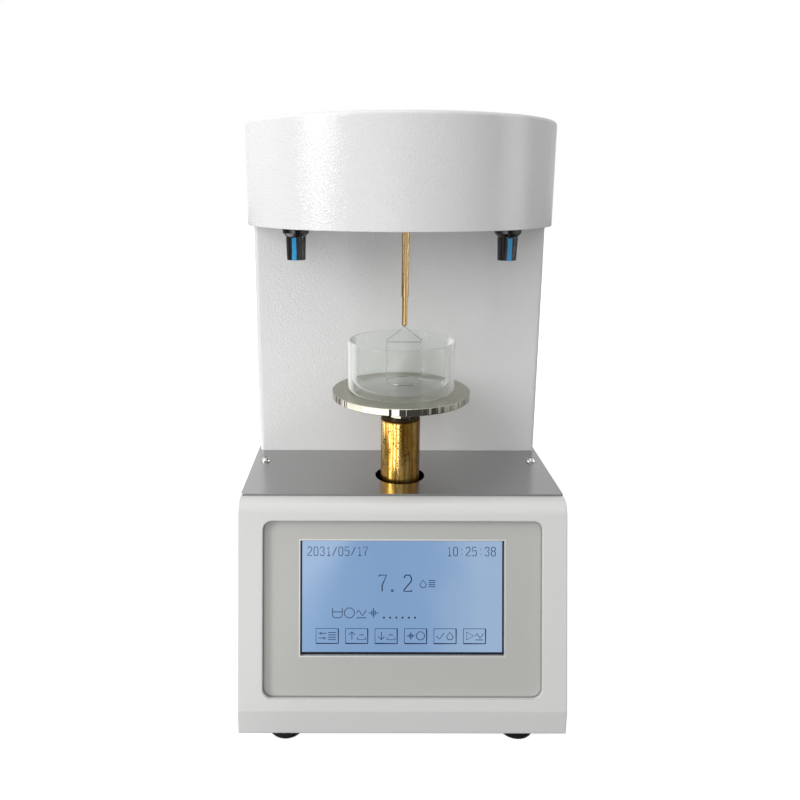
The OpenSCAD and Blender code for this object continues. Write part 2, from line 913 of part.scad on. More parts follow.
module at_head_screws() {
    for (y = [head_screw_front, head_screw_back])
        both_sides() translate([head_r, y, head_screw_z]) rotate([0, 90, 0]) children();
}

module at_knobs(side) {
    translate([side * knob_x, knob_y, 0]) children();
}

module head_floor() {
    color("silver") in_place() difference() {
        union() {
            translate([0, 0, head_z]) linear_extrude(height = floor_t) {
                head_outline(floor_r, back_y - sheet);
                translate([-head_in_r, floor_flange_front])
                    square([2 * head_in_r, floor_flange_back - floor_flange_front]);
            }
            both_sides() translate([head_in_r - sheet, floor_flange_front, head_z])
                cube([sheet, floor_flange_back - floor_flange_front, floor_flange_h]);
        }
        at_head_screws() cylinder(d = m3_d, h = screw_cut_l, center = true);
        for (s = [-1, 1]) at_knobs(s) translate([0, 0, head_z - over])
            cylinder(d = bushing_d, h = floor_t + 2 * over);
        translate([ring_x, 0, head_z - over]) cylinder(d = rod_hole_d, h = floor_t + 2 * over);
        translate([0, cable_hole_y, head_z - over])
            cylinder(d = cable_hole_d, h = floor_t + 2 * over);
    }
}

// Rounded upper edge of the head, as a flat outline: radius outwards, height upwards
module head_wall(r) {
    square([r, head_h - head_edge_r]);
    square([r - head_edge_r, head_h]);
    translate([r - head_edge_r, head_h - head_edge_r]) circle(r = head_edge_r);
}

module head_cover() {
    side_l = back_y - head_y;
    color("whitesmoke") in_place() difference() {
        union() {
            translate([0, head_y, head_z]) rotate([0, 0, 180])
                rotate_extrude(angle = 180) intersection() {
                    head_wall(head_r);
                    square([head_r, head_h]);
                }
            both_sides() translate([0, head_y - eps, head_z]) rotate([90, 0, 0]) mirror([0, 0, 1])
                linear_extrude(height = side_l + eps) head_wall(head_r);
        }
        translate([0, 0, head_z - over])
            linear_extrude(height = head_h - sheet + over) head_outline(head_in_r, back_y - sheet);
        at_head_screws() cylinder(d = m3_d, h = screw_cut_l, center = true);
    }
}

module head_screws() {
    color("gainsboro") in_place() at_head_screws() pan_screw(m3_len);
}

// ---------- knobs ----------

// Groove and insert of the pointer: a rib along the grip and a small cap on the end
module pointer_shape(angle) {
    rotate([0, 0, angle]) {
        translate([-pointer_w / 2, -knob_grip_d / 2 - pointer_out, knob_end_z])
            cube([pointer_w, pointer_t + pointer_out, knob_h - knob_skirt_h - knob_cone_h - flute_stop]);
        translate([-pointer_w / 2, -knob_grip_d / 2 - pointer_out, knob_end_z])
            cube([pointer_w, knob_grip_d / 2, pointer_cap_t]);
        translate([0, 0, knob_end_z]) cylinder(d = pointer_cap_d, h = pointer_cap_t);
    }
}

module knob(side, angle) {
    grip_top = knob_top_z - knob_skirt_h - knob_cone_h;
    color("black") in_place() at_knobs(side) difference() {
        rotate_extrude() polygon([
            [0, knob_end_z], [knob_end_d / 2, knob_end_z], [knob_grip_d / 2, grip_top],
            [knob_skirt_d / 2 - 0.3, grip_top + knob_cone_h], [knob_skirt_d / 2, knob_top_z],
            [0, knob_top_z]
        ]);
        // Flutes, clear of the pointer's groove
        for (i = [1 : knob_flutes - 1])
            rotate([0, 0, angle - 90 + 360 * i / knob_flutes])
                translate([flute_place, 0, knob_end_z - over])
                    cylinder(r = flute_r, h = grip_top - knob_end_z + over - flute_stop, $fn = 24);
        // Hollow that covers the nut, and the bore for the bushing under it
        translate([0, 0, knob_top_z - knob_recess_h])
            cylinder(d = knob_recess_d, h = knob_recess_h + over);
        translate([0, 0, knob_top_z - knob_bore_h])
            cylinder(d = knob_bore_d, h = knob_bore_h);
        // Hole for the shaft
        translate([0, 0, knob_end_z + shaft_end_gap]) cylinder(d = shaft_d, h = knob_h);
        pointer_shape(angle);
    }
}

module pointer_cap(side, angle) {
    color("deepskyblue") in_place() at_knobs(side) pointer_shape(angle);
}

module knob_shaft(side) {
    z = knob_end_z + shaft_end_gap;
    color("silver") in_place() at_knobs(side) translate([0, 0, z])
        cylinder(d = shaft_d, h = floor_top_z + pot_h - 1.5 - z);
}

module potentiometer(side) {
    color("darkslategray") in_place() at_knobs(side) difference() {
        union() {
            translate([0, 0, floor_top_z]) cylinder(d = pot_d, h = pot_h);
            translate([0, 0, head_z - bushing_drop])
                cylinder(d = bushing_d, h = bushing_drop + floor_t + eps);
            // Solder tags
            for (i = [-1, 0, 1])
                translate([i * 5 - 0.75, pot_d / 2 - 3, floor_top_z + 2]) cube([1.5, 7, 0.8]);
        }
        translate([0, 0, head_z - bushing_drop - over])
            cylinder(d = shaft_d + 2 * running_gap, h = bushing_drop + floor_t + pot_h - 1 + over);
    }
}

module left_knob() knob(-1, left_pointer);
module left_pointer_cap() pointer_cap(-1, left_pointer);
module left_shaft() knob_shaft(-1);
module left_potentiometer() potentiometer(-1);
module right_knob() knob(1, right_pointer);
module right_pointer_cap() pointer_cap(1, right_pointer);
module right_shaft() knob_shaft(1);
module right_potentiometer() potentiometer(1);

module potentiometer_nuts() {
    color("silver") in_place() for (s = [-1, 1]) at_knobs(s)
        translate([0, 0, head_z - pot_nut_h]) difference() {
            hexagon(pot_nut_af, pot_nut_h);
            translate([0, 0, -over]) cylinder(d = bushing_d, h = pot_nut_h + 2 * over);
        }
}

// ---------- force sensor and suspension ----------

// Everything that hangs is drawn about the ring's own upright axis
module at_ring() {
    translate([ring_x, 0, 0]) children();
}

// Beam with the double hole that makes its middle bend evenly
module force_sensor() {
    mid = beam_z + beam_w / 2;
    color("lightsteelblue") in_place() at_ring() difference() {
        translate([-beam_w / 2, -beam_front, beam_z]) cube([beam_w, beam_l, beam_w]);
        for (y = [flex_front, flex_back])
            translate([0, y - beam_front, mid]) rod_x(flex_hole_d, beam_w + 2 * over);
        translate([0, (flex_front + flex_back) / 2 - beam_front, mid])
            cube([beam_w + 2 * over, flex_back - flex_front, flex_slot], center = true);
        translate([0, 0, beam_z - over]) cylinder(d = m3_d, h = beam_w + 2 * over);
    }
}

module sensor_block() {
    y = beam_back - block_depth;
    color("silver") in_place() at_ring() {
        translate([-block_w / 2, y, floor_top_z]) cube([block_w, block_depth, beam_z - floor_top_z]);
        translate([-block_foot_w / 2, y, floor_top_z]) cube([block_foot_w, block_depth, block_foot_t]);
    }
}

module sensor_board() {
    color("seagreen") in_place() translate([sensor_board_x, sensor_board_y, floor_top_z]) {
        translate([0, 0, sensor_board_gap]) cube([sensor_board_w, sensor_board_l, board_t]);
        // Posts to the head's floor
        for (x = [sensor_post_inset, sensor_board_w - sensor_post_inset])
            for (y = [sensor_post_inset, sensor_board_l - sensor_post_inset])
                translate([x, y, 0]) cylinder(d = sensor_post_d, h = sensor_board_gap + eps);
        // A chip and a plug
        translate([0, 0, sensor_board_gap + board_t - eps]) {
            translate([sensor_chip_at, sensor_chip_at, 0])
                cube([sensor_chip_w, sensor_chip_w, sensor_chip_t]);
            translate([sensor_board_w - sensor_plug_x, sensor_plug_y, 0])
                cube([sensor_plug_w, sensor_plug_l, sensor_plug_h]);
        }
    }
}

// Two ears on a bridge, open towards -Z, about a pivot at the origin along X
module clevis(hole) {
    difference() {
        union() {
            for (s = [-1, 1]) translate([s * (ear_in + ear_t / 2), 0, 0]) {
                rod_x(2 * ear_r, ear_t);
                translate([-ear_t / 2, -ear_r, 0]) cube([ear_t, 2 * ear_r, clevis_reach + eps]);
            }
            translate([-ear_out, -ear_r, clevis_reach])
                cube([2 * ear_out, 2 * ear_r, clevis_bridge]);
        }
        rod_x(hole, 2 * ear_out + 2 * over);
    }
}

module sensor_hook() {
    color("goldenrod") in_place() at_ring() translate([0, 0, high_pivot_z]) {
        clevis(pin_d);
        translate([0, 0, clevis_reach + clevis_bridge - eps])
            cylinder(d = hook_stem_d, h = hook_stem_l + eps);
        translate([0, 0, clevis_reach + clevis_bridge + hook_stem_l - eps])
            cylinder(d = m3_d, h = beam_w * 0.8);
    }
}

module hook_pin() {
    color("silver") in_place() at_ring() translate([0, 0, high_pivot_z]) rod_x(pin_d, 2 * ear_out + 1);
}

// Link between the two crossed pins, so that the rod hangs freely both ways
module suspension_link() {
    h = pivot_gap + 2 * link_end;
    color("goldenrod") in_place() at_ring() difference() {
        translate([-link_w / 2, -link_w / 2, low_pivot_z - link_end]) cube([link_w, link_w, h]);
        translate([0, 0, high_pivot_z]) rod_x(pin_d + 2 * running_gap, link_w + 2 * over);
        translate([0, 0, low_pivot_z]) rod_y(pin_d + 2 * running_gap, link_w + 2 * over);
    }
}

module link_pin() {
    color("silver") in_place() at_ring() translate([0, 0, low_pivot_z]) rod_y(pin_d, 2 * ear_out + 1);
}

module suspension_rod() {
    bridge_low = low_pivot_z - clevis_reach - clevis_bridge;
    color("goldenrod") in_place() at_ring() {
        translate([0, 0, low_pivot_z]) rotate([180, 0, 90]) clevis(pin_d);
        difference() {
            translate([0, 0, shank_top_z]) cylinder(d = rod_d, h = bridge_low - shank_top_z + eps);
            translate([0, 0, shank_top_z - over]) cylinder(d = shank_d, h = shank_plug + over);
        }
    }
}

module ring_shank() {
    color("goldenrod") in_place() at_ring() difference() {
        union() {
            translate([0, 0, apex_z + 0.5]) cylinder(d = shank_d, h = shank_l + shank_plug - 0.5);
            translate([0, 0, apex_z])
                cylinder(d1 = shank_d - 1, d2 = shank_d, h = 0.5 + eps);
        }
        translate([0, 0, apex_z - over]) cylinder(d = wire_d * 2, h = stem_l + over);
    }
}

// Straight piece of wire from one point to another
module wire(d, a, b) {
    v = b - a;
    l = norm(v);
    translate(a) rotate([0, acos(v[2] / l), atan2(v[1], v[0])]) cylinder(d = d, h = l);
}

module measuring_ring() {
    r = ring_d / 2;
    color("lightgray") in_place() at_ring() {
        translate([0, 0, ring_z]) rotate_extrude() translate([r, 0]) circle(d = wire_d);
        for (s = [-1, 1]) {
            wire(leg_d, [s * r, 0, ring_z], [s * r, 0, shoulder_z]);
            wire(leg_d, [s * r, 0, shoulder_z], [0, 0, apex_z - wire_d * 0.7]);
            translate([s * r, 0, shoulder_z]) sphere(d = wire_d);
        }
        wire(bar_d, [-r, 0, shoulder_z - ring_bar_drop], [r, 0, shoulder_z - ring_bar_drop]);
        // Twisted ends of the wire, held in the shank
        translate([0, 0, apex_z - wire_d * 1.2]) cylinder(d = wire_d * 2, h = stem_l + wire_d * 1.2);
    }
}

// ---------- sample table and dish ----------

module sample_table() {
    edge = 0.3;
    color("silver") in_place() translate([0, 0, table_low_z]) {
        cylinder(d1 = table_d - 2 * edge, d2 = table_d, h = edge);
        translate([0, 0, edge - eps]) cylinder(d = table_d, h = table_t - 2 * edge + 2 * eps);
        translate([0, 0, table_t - edge]) cylinder(d1 = table_d, d2 = table_d - 2 * edge, h = edge);
        translate([0, 0, -boss_l]) cylinder(d = boss_d, h = boss_l + eps);
        translate([0, 0, -boss_l - seat_pin_l]) cylinder(d = seat_pin_d, h = seat_pin_l + eps);
    }
}

module sample_dish() {
    in_r = dish_r - dish_wall;
    foot_r = dish_foot_r;
    color("azure", 0.4) in_place() translate([0, 0, table_z]) rotate_extrude() difference() {
        union() {
            translate([0, foot_r]) square([dish_r, dish_h - foot_r - lip_r]);
            square([dish_r - foot_r, dish_h - lip_r]);
            translate([dish_r - foot_r, foot_r]) circle(r = foot_r);
            translate([dish_r - lip_r, dish_h - lip_r]) circle(r = lip_r);
        }
        translate([-over, dish_wall + dish_corner_r]) square([in_r + over, dish_h]);
        translate([-over, dish_wall]) square([in_r - dish_corner_r + over, dish_h]);
        translate([in_r - dish_corner_r, dish_wall + dish_corner_r]) circle(r = dish_corner_r);
        translate([-over - dish_r, -over]) square([dish_r + over, dish_h + 2 * over]);
    }
}

// ---------- lift ----------

module lift_column() {
    h = lift_top_z - lift_bottom_z;
    color("goldenrod") in_place() translate([0, 0, lift_bottom_z]) difference() {
        union() {
            cylinder(d = lift_d, h = h - 0.5);
            translate([0, 0, h - 0.5 - eps]) cylinder(d1 = lift_d, d2 = lift_d - 1, h = 0.5 + eps);
        }
        // Bore for the lead screw, then the socket for the table's pin
        translate([0, 0, -over]) cylinder(d = lift_bore_d, h = h - seat_pin_l - 4 + over);
        translate([0, 0, h - seat_pin_l - 4 - eps])
            cylinder(d = seat_pin_d + 2 * running_gap, h = seat_pin_l + 4 + over);
    }
}

module at_guides() {
    for (s = [-1, 1]) translate([s * guide_x, 0, 0]) children();
}

module lift_carriage() {
    bush_d = guide_d + 2 * rod_bush_wall;
    color("lightsteelblue") in_place() translate([0, 0, carriage_z]) difference() {
        union() {
            linear_extrude(height = carriage_t) round_rect(carriage_w, carriage_depth, 4);
            // Flag that works the end switches
            translate([-flag_w / 2, carriage_depth / 2 - eps, 0]) cube([flag_w, flag_l + eps, flag_t]);
        }
        translate([0, 0, carriage_t - carriage_seat]) cylinder(d = lift_d, h = carriage_seat + over);
        translate([0, 0, -over]) cylinder(d = nut_body_d, h = carriage_t + 2 * over);
        at_guides() translate([0, 0, -over]) cylinder(d = bush_d, h = carriage_t + 2 * over);
    }
}

module lift_nut() {
    color("goldenrod") in_place() translate([0, 0, carriage_z]) difference() {
        union() {
            translate([0, 0, -nut_flange_t]) cylinder(d = nut_flange_d, h = nut_flange_t);
            translate([0, 0, -eps]) cylinder(d = nut_body_d, h = nut_body_l + eps);
        }
        translate([0, 0, -nut_flange_t - over])
            cylinder(d = screw_d + 2 * running_gap, h = nut_flange_t + nut_body_l + 2 * over);
    }
}

module carriage_bushes() {
    bush_d = guide_d + 2 * rod_bush_wall;
    color("peru") in_place() at_guides() translate([0, 0, carriage_z]) difference() {
        union() {
            cylinder(d = bush_d, h = carriage_t);
            translate([0, 0, -rod_bush_flange_t])
                cylinder(d = bush_d + 2 * rod_bush_flange, h = rod_bush_flange_t + eps);
        }
        translate([0, 0, -rod_bush_flange_t - over])
            cylinder(d = guide_d + 2 * running_gap, h = carriage_t + rod_bush_flange_t + 2 * over);
    }
}

module lead_screw() {
    color("silver") in_place() translate([0, 0, lead_low_z])
        cylinder(d = screw_d, h = lead_top_z - lead_low_z);
}

module guide_rods() {
    color("gainsboro") in_place() at_guides() translate([0, 0, motor_top_z])
        cylinder(d = guide_d, h = guide_plate_z + guide_plate_t - motor_top_z);
}

module at_posts() {
    for (sx = [-1, 1], sy = [-1, 1]) translate([sx * post_x, sy * post_y, 0]) children();
}

module guide_plate() {
    color("lightsteelblue") in_place() translate([0, 0, guide_plate_z]) difference() {
        linear_extrude(height = guide_plate_t) round_rect(plate_w, plate_depth, 3);
        translate([0, 0, -over]) {
            cylinder(d = lift_d + 2 * bush_wall, h = guide_plate_t + 2 * over);
            at_guides() cylinder(d = guide_d, h = guide_plate_t + 2 * over);
        }
    }
}

module column_bush() {
    out_d = lift_d + 2 * bush_wall;
    l = guide_plate_t + bush_top + bush_flange_t;
    color("peru") in_place() translate([0, 0, bush_low_z]) difference() {
        union() {
            cylinder(d = out_d, h = l);
            cylinder(d = out_d + 2 * bush_flange, h = bush_flange_t);
        }
        translate([0, 0, -over]) cylinder(d = lift_d + 2 * running_gap, h = l + 2 * over);
    }
}

// Square stepper motor with cut corners and a round pilot
module lift_motor() {
    w = motor_w;
    c = motor_corner;
    color("dimgray") in_place() translate([0, 0, motor_z]) difference() {
        union() {
            for (z = [0, motor_h * 0.75]) translate([0, 0, z])
                linear_extrude(height = motor_h * 0.25) polygon([
                    [-w / 2 + c, -w / 2], [w / 2 - c, -w / 2], [w / 2, -w / 2 + c], [w / 2, w / 2 - c],
                    [w / 2 - c, w / 2], [-w / 2 + c, w / 2], [-w / 2, w / 2 - c], [-w / 2, -w / 2 + c]
                ]);
            translate([0, 0, motor_h / 2])
                cube([w - 2, w - 8, motor_h * 0.5 + 2 * eps], center = true);
            translate([0, 0, motor_h / 2])
                cube([w - 8, w - 2, motor_h * 0.5 + 2 * eps], center = true);
            translate([0, 0, motor_h - eps]) cylinder(d = pilot_d, h = pilot_h + eps);
        }
        translate([0, 0, lead_low_z - motor_z - 0.5])
            cylinder(d = screw_d + 2 * running_gap, h = motor_h + pilot_h + over);
    }
}

module motor_plate() {
    color("lightsteelblue") in_place() translate([0, 0, motor_top_z]) difference() {
        linear_extrude(height = motor_plate_t) round_rect(plate_w, plate_depth, 3);
        translate([0, 0, -over]) {
            cylinder(d = pilot_d + 0.2, h = motor_plate_t + 2 * over);
            at_guides() cylinder(d = guide_d, h = motor_plate_t + 2 * over);
        }
    }
}

// Posts from the bottom plate to the motor plate, and on to the guide plate
module plate_posts() {
    color("silver") in_place() at_posts() {
        translate([0, 0, floor_in_z]) cylinder(d = post_d, h = motor_top_z - floor_in_z);
        translate([0, 0, motor_plate_top])
            cylinder(d = post_d, h = guide_plate_z - motor_plate_top);
    }
}

// End switches on a plate behind the carriage, above and below its flag
module limit_switches() {
    low_z = carriage_z - travel_down - switch_gap - switch_t;
    high_z = carriage_z + travel_up + flag_t + switch_gap;
    plate_y = plate_depth / 2 - switch_plate_t;
    color("darkslategray") in_place() {
        translate([-switch_w / 2, plate_y, motor_plate_top])
            cube([switch_w, switch_plate_t, guide_plate_z - motor_plate_top]);
        for (z = [low_z, high_z])
            translate([-switch_w / 2, switch_front, z])
                cube([switch_w, plate_y - switch_front + eps, switch_t]);
    }
}

// ---------- electronics ----------

module main_board() {
    color("seagreen") in_place() translate([board_x, board_y, board_z]) {
        translate([0, -board_l / 2, -board_h / 2]) cube([board_t, board_l, board_h]);
        // Posts to the side wall
        for (sy = [-1, 1], sz = [-1, 1])
            translate([board_t + board_gap / 2 - eps / 2, sy * board_post_y, sz * board_post_z])
                rod_x(board_post_d, board_gap + eps);
        // Chips, capacitors and plugs on the inner side
        for (p = board_chips)
            translate([-board_chip_t / 2, p[0], p[1]])
                cube([board_chip_t + eps, p[2] + board_chip_extra, p[2]], center = true);
        for (y = board_cap_ys)
            translate([-board_cap_l / 2, y, board_cap_z]) rod_x(board_cap_d, board_cap_l + eps);
        for (y = board_plug_ys)
            translate([-board_plug_l / 2, y, board_plug_z])
                cube([board_plug_l + eps, board_plug_w, board_plug_h], center = true);
    }
}

// Enclosed mains supply on the channel's web
module power_supply() {
    color("silver") in_place()
        translate([-supply_w / 2, channel_y + channel_t, supply_z - supply_h / 2]) difference() {
            cube([supply_w, supply_depth, supply_h]);
            for (i = [-supply_slot_half : supply_slot_half])
                translate([supply_w / 2 + i * supply_slot_pitch, supply_depth, supply_h / 2])
                    cube([supply_slot_w, 2 * supply_slot_t, supply_h - 2 * supply_slot_end], center = true);
        }
}

// ---------- rear connectors ----------

// Outline of a mains inlet: a rectangle with its two upper corners cut off
module inlet_outline(w, h, c) {
    polygon([
        [-w / 2, -h / 2], [w / 2, -h / 2], [w / 2, h / 2 - c],
        [w / 2 - c, h / 2], [-w / 2 + c, h / 2], [-w / 2, h / 2 - c]
    ]);
}

module power_inlet() {
    color("black") in_place() on_back(inlet_x, port_mid_z) {
        difference() {
            union() {
                linear_extrude(height = inlet_flange_t)
                    round_rect(inlet_flange_w, inlet_flange_h, 2);
                translate([0, 0, -inlet_depth]) linear_extrude(height = inlet_depth + eps)
                    square([inlet_body_w, inlet_body_h], center = true);
            }
            translate([0, 0, inlet_flange_t - inlet_socket_depth])
                linear_extrude(height = inlet_socket_depth + over)
                    inlet_outline(inlet_socket_w, inlet_socket_h, 4);
        }
        // Contact blades
        for (p = [[-inlet_blade_gap, 1], [0, 4], [inlet_blade_gap, 1]])
            translate([p[0] - blade_w / 2, p[1] - blade_h / 2, inlet_flange_t - inlet_socket_depth - eps])
                cube([blade_w, blade_h, blade_l]);
    }
}

module switch_frame() {
    color("black") in_place() on_back(switch_x, port_mid_z) difference() {
        union() {
            linear_extrude(height = switch_flange_t)
                round_rect(switch_flange_w, switch_flange_h, 1);
            translate([0, 0, -switch_depth]) linear_extrude(height = switch_depth + eps)
                square([switch_body_w, switch_body_h], center = true);
        }
        translate([0, 0, switch_flange_t - rocker_pocket_depth / 2 + over / 2])
            cube([rocker_pocket_w, rocker_pocket_h, rocker_pocket_depth + over], center = true);
        translate([0, 0, rocker_y - back_y])
            rod_x(rocker_pin_d + 2 * running_gap, rocker_pocket_w + 2 * rocker_pin_l);
    }
}

// Rocker with its upper half pressed in, on two short pivot pins
module switch_rocker() {
    reach = 5.6;
    half = 6.6;
    color("firebrick") in_place() on_back(switch_x, port_mid_z)
        translate([0, 0, rocker_y - back_y]) rotate([-switch_angle / 2, 0, 0]) {
            across(rocker_w) polygon([
                [-3, -3], [3, -3], [half, reach - 3], [half, reach - 1], [0, reach - 2.4],
                [-half, reach - 1], [-half, reach - 3]
            ]);
            rod_x(rocker_pin_d, rocker_pocket_w + 2 * rocker_pin_l - 0.4);
        }
}

// Outline of a nine-pin shell: wider along its upper edge
module serial_outline(w, h) {
    s = 1.2;
    polygon([
        [-w / 2 + s, -h / 2], [w / 2 - s, -h / 2], [w / 2, h / 2 - 1],
        [w / 2 - 1, h / 2], [-w / 2 + 1, h / 2], [-w / 2, h / 2 - 1]
    ]);
}

module serial_port() {
    color("silver") in_place() on_back(serial_x, port_mid_z) {
        difference() {
            union() {
                linear_extrude(height = serial_plate_t)
                    round_rect(serial_plate_w, serial_plate_h, 1.5);
                linear_extrude(height = serial_plate_t + serial_shell_l)
                    serial_outline(serial_shell_w, serial_shell_h);
                translate([0, 0, -serial_body_depth]) linear_extrude(height = serial_body_depth + eps)
                    square([serial_body_w, serial_body_h], center = true);
            }
            // Five contact holes above four
            for (i = [0 : 4])
                translate([(i - 2) * 2.77, 1.4, serial_plate_t + 1])
                    cylinder(d = 1.1, h = serial_shell_l, $fn = 16);
            for (i = [0 : 3])
                translate([(i - 1.5) * 2.77, -1.4, serial_plate_t + 1])
                    cylinder(d = 1.1, h = serial_shell_l, $fn = 16);
        }
        for (s = [-1, 1])
            translate([s * 12.5, 0, serial_plate_t - eps]) difference() {
                hexagon(jack_d, jack_l);
                translate([0, 0, 1]) cylinder(d = 2.9, h = jack_l);
            }
    }
}

base_housing();
bottom_plate();
base_screws();
deck_plate();
deck_screws();
front_panel();
panel_nuts();
touch_screen();
lcd_module();
foot_front_left();
foot_front_right();
foot_rear_left();
foot_rear_right();
foot_nuts();
column_frame();
column_cover();
column_back();
column_screws();
head_floor();
head_cover();
head_screws();
left_knob();
left_pointer_cap();
left_shaft();
left_potentiometer();
right_knob();
right_pointer_cap();
right_shaft();
right_potentiometer();
potentiometer_nuts();
force_sensor();
sensor_block();
sensor_board();
sensor_hook();
hook_pin();
suspension_link();
link_pin();
suspension_rod();
ring_shank();
measuring_ring();
sample_table();
sample_dish();
lift_column();
lift_carriage();
lift_nut();
carriage_bushes();
lead_screw();
guide_rods();
guide_plate();
column_bush();
lift_motor();
motor_plate();
plate_posts();
limit_switches();
main_board();
power_supply();
power_inlet();
switch_frame();
switch_rocker();
serial_port();
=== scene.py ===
# %% [markdown]
# # A surface tensiometer, dressed for its picture
# The measured solids of this laboratory instrument are loaded first, and they are never
# moved. Everything after that is finish: the paint, the metals, the glass, the lit
# screen and the light. Blender counts in metres, so a size that is easier to read in
# millimetres is multiplied by MM.

# %% Load the measured solids
import json
import math

import bmesh
import bpy
import numpy as np
from mathutils import Euler, Matrix, Vector


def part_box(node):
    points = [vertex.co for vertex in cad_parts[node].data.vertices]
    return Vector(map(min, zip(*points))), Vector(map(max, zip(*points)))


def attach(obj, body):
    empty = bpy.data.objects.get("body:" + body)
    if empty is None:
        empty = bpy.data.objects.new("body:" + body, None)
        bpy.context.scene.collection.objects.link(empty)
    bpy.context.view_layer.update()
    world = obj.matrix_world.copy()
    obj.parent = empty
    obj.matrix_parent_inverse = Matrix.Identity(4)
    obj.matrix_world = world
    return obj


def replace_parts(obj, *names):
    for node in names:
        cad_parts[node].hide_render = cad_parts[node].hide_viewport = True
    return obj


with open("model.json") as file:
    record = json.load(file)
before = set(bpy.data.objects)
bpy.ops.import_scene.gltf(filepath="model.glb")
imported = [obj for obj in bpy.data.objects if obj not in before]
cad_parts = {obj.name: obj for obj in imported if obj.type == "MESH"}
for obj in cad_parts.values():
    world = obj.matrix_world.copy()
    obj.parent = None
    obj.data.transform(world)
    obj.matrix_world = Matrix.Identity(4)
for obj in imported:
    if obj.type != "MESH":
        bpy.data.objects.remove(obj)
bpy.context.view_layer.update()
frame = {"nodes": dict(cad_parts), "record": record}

MM = 0.001
node = frame["nodes"]

# %% [markdown]
# ## The camera
# The photograph was taken from the front, about 390 mm before the lift axis and 160 mm
# above the deck, looking 12.5 degrees down. Its lens was worked out from the edges of
# the head, the base, the sample table and the dish. The small shift keeps the
# instrument where it stands in the picture.

# %% Camera
PICTURE = 800
FOCAL_PX = 728.77
CENTRE_PX = (365.64, 349.95)
TILT_DOWN, ROLL = 12.544, -0.133
CAMERA_X, BEFORE_AXIS, ABOVE_DECK = -19.893 * MM, 391.29 * MM, 160.133 * MM
LIFT_AXIS_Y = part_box("lead_screw")[0].y / 2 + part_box("lead_screw")[1].y / 2
DECK_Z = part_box("deck_plate")[1].z

lens = bpy.data.cameras.new("photo_lens")
lens.sensor_width = 36.0
lens.lens = lens.sensor_width * FOCAL_PX / PICTURE
lens.shift_x = (PICTURE / 2 - CENTRE_PX[0]) / PICTURE
lens.shift_y = (CENTRE_PX[1] - PICTURE / 2) / PICTURE
lens.clip_start = 0.01
camera = bpy.data.objects.new("photo_camera", lens)
camera.location = (CAMERA_X, LIFT_AXIS_Y - BEFORE_AXIS, DECK_Z + ABOVE_DECK)
camera.rotation_euler = Euler((math.radians(90 - TILT_DOWN), math.radians(ROLL), 0))
bpy.context.scene.collection.objects.link(camera)
bpy.context.scene.camera = camera
bpy.context.scene.view_settings.view_transform = "Standard"
print("lens", round(lens.lens, 2), "mm, camera at", [round(v, 3) for v in camera.location])

# %% [markdown]
# ## Helpers for colours and nodes
# Colours are written as the sRGB hex values that a paint chart gives, and one function
# turns them to the linear values that Blender mixes. A second one adds any node with its
# settings and its links. The rest are short names for what nearly every finish needs.

# %% A colour and a node
def linear(hex_colour):
    """sRGB hex to a linear RGBA colour."""
    parts = [int(hex_colour[i:i + 2], 16) / 255 for i in (1, 3, 5)]
    return [c / 12.92 if c <= 0.04045 else ((c + 0.055) / 1.055) ** 2.4 for c in parts] + [1.0]


def add(tree, kind, settings=None, **inputs):
    """Adds a node. An input is a value or another socket; _ in its name is a space, and
    in0, in1 and so on are the inputs by number."""
    made = tree.nodes.new(kind)
    for key, value in (settings or {}).items():
        setattr(made, key, value)
    for key, value in inputs.items():
        if key.startswith("in") and key[2:].isdigit():
            socket = made.inputs[int(key[2:])]
        else:
            socket = made.inputs[key.replace("_", " ")]
        if isinstance(value, bpy.types.NodeSocket):
            tree.links.new(value, socket)
        else:
            socket.default_value = value
    return made


print("mid grey is", [round(v, 3) for v in linear("#808080")])

# %% A material and its shader
def finish(name, **shader_inputs):
    """A new material with one Principled shader. Returns (material, tree, shader)."""
    material = bpy.data.materials.new(name)
    material.use_nodes = True
    tree = material.node_tree
    shader = tree.nodes["Principled BSDF"]
    for key, value in shader_inputs.items():
        shader.inputs[key.replace("_", " ")].default_value = value
    return material, tree, shader


def connect(tree, shader, **sources):
    """Links sockets to a shader's inputs; _ in an input's name is a space."""
    for key, source in sources.items():
        tree.links.new(source, shader.inputs[key.replace("_", " ")])


def mix_shaders(tree, share, first, second):
    """The first shader, with this share of the second laid over it."""
    return add(tree, "ShaderNodeMixShader", in0=share, in1=first, in2=second).outputs[0]


def show(tree, shader_socket):
    """Makes this shader the one that the surface shows."""
    tree.links.new(shader_socket, tree.nodes["Material Output"].inputs["Surface"])


# %% Short names for common nodes
GLOSS_SPREAD = 0.06


def object_place(tree):
    """Where a point lies, in its own piece's coordinates."""
    return add(tree, "ShaderNodeTexCoord").outputs["Object"]


def stretched(tree, place, factors):
    """Coordinates times a factor along X, Y and Z; a small one draws a noise out long."""
    return add(tree, "ShaderNodeMapping", Vector=place, Scale=factors).outputs[0]


def noise(tree, place, grain_mm, detail, roughness=0.5):
    """A noise from 0 to 1 whose grain is about this many millimetres wide."""
    return add(tree, "ShaderNodeTexNoise", Vector=place, Scale=1 / (grain_mm * MM),
               Detail=detail, Roughness=roughness).outputs["Fac"]


def reckon(tree, operation, *values):
    """The result of one math node on values or sockets."""
    inputs = {f"in{i}": value for i, value in enumerate(values)}
    return add(tree, "ShaderNodeMath", {"operation": operation}, **inputs).outputs[0]


def carry(tree, value, given=(0.0, 1.0), result=(0.0, 1.0)):
    """Carries a value from one range to another, and holds it at both ends."""
    return add(tree, "ShaderNodeMapRange", Value=value, From_Min=given[0], From_Max=given[1],
               To_Min=result[0], To_Max=result[1]).outputs[0]


def wander(tree, value, middle, spread=GLOSS_SPREAD):
    """A roughness that wanders about its middle with a noise."""
    return carry(tree, value, result=(middle - spread, middle + spread))


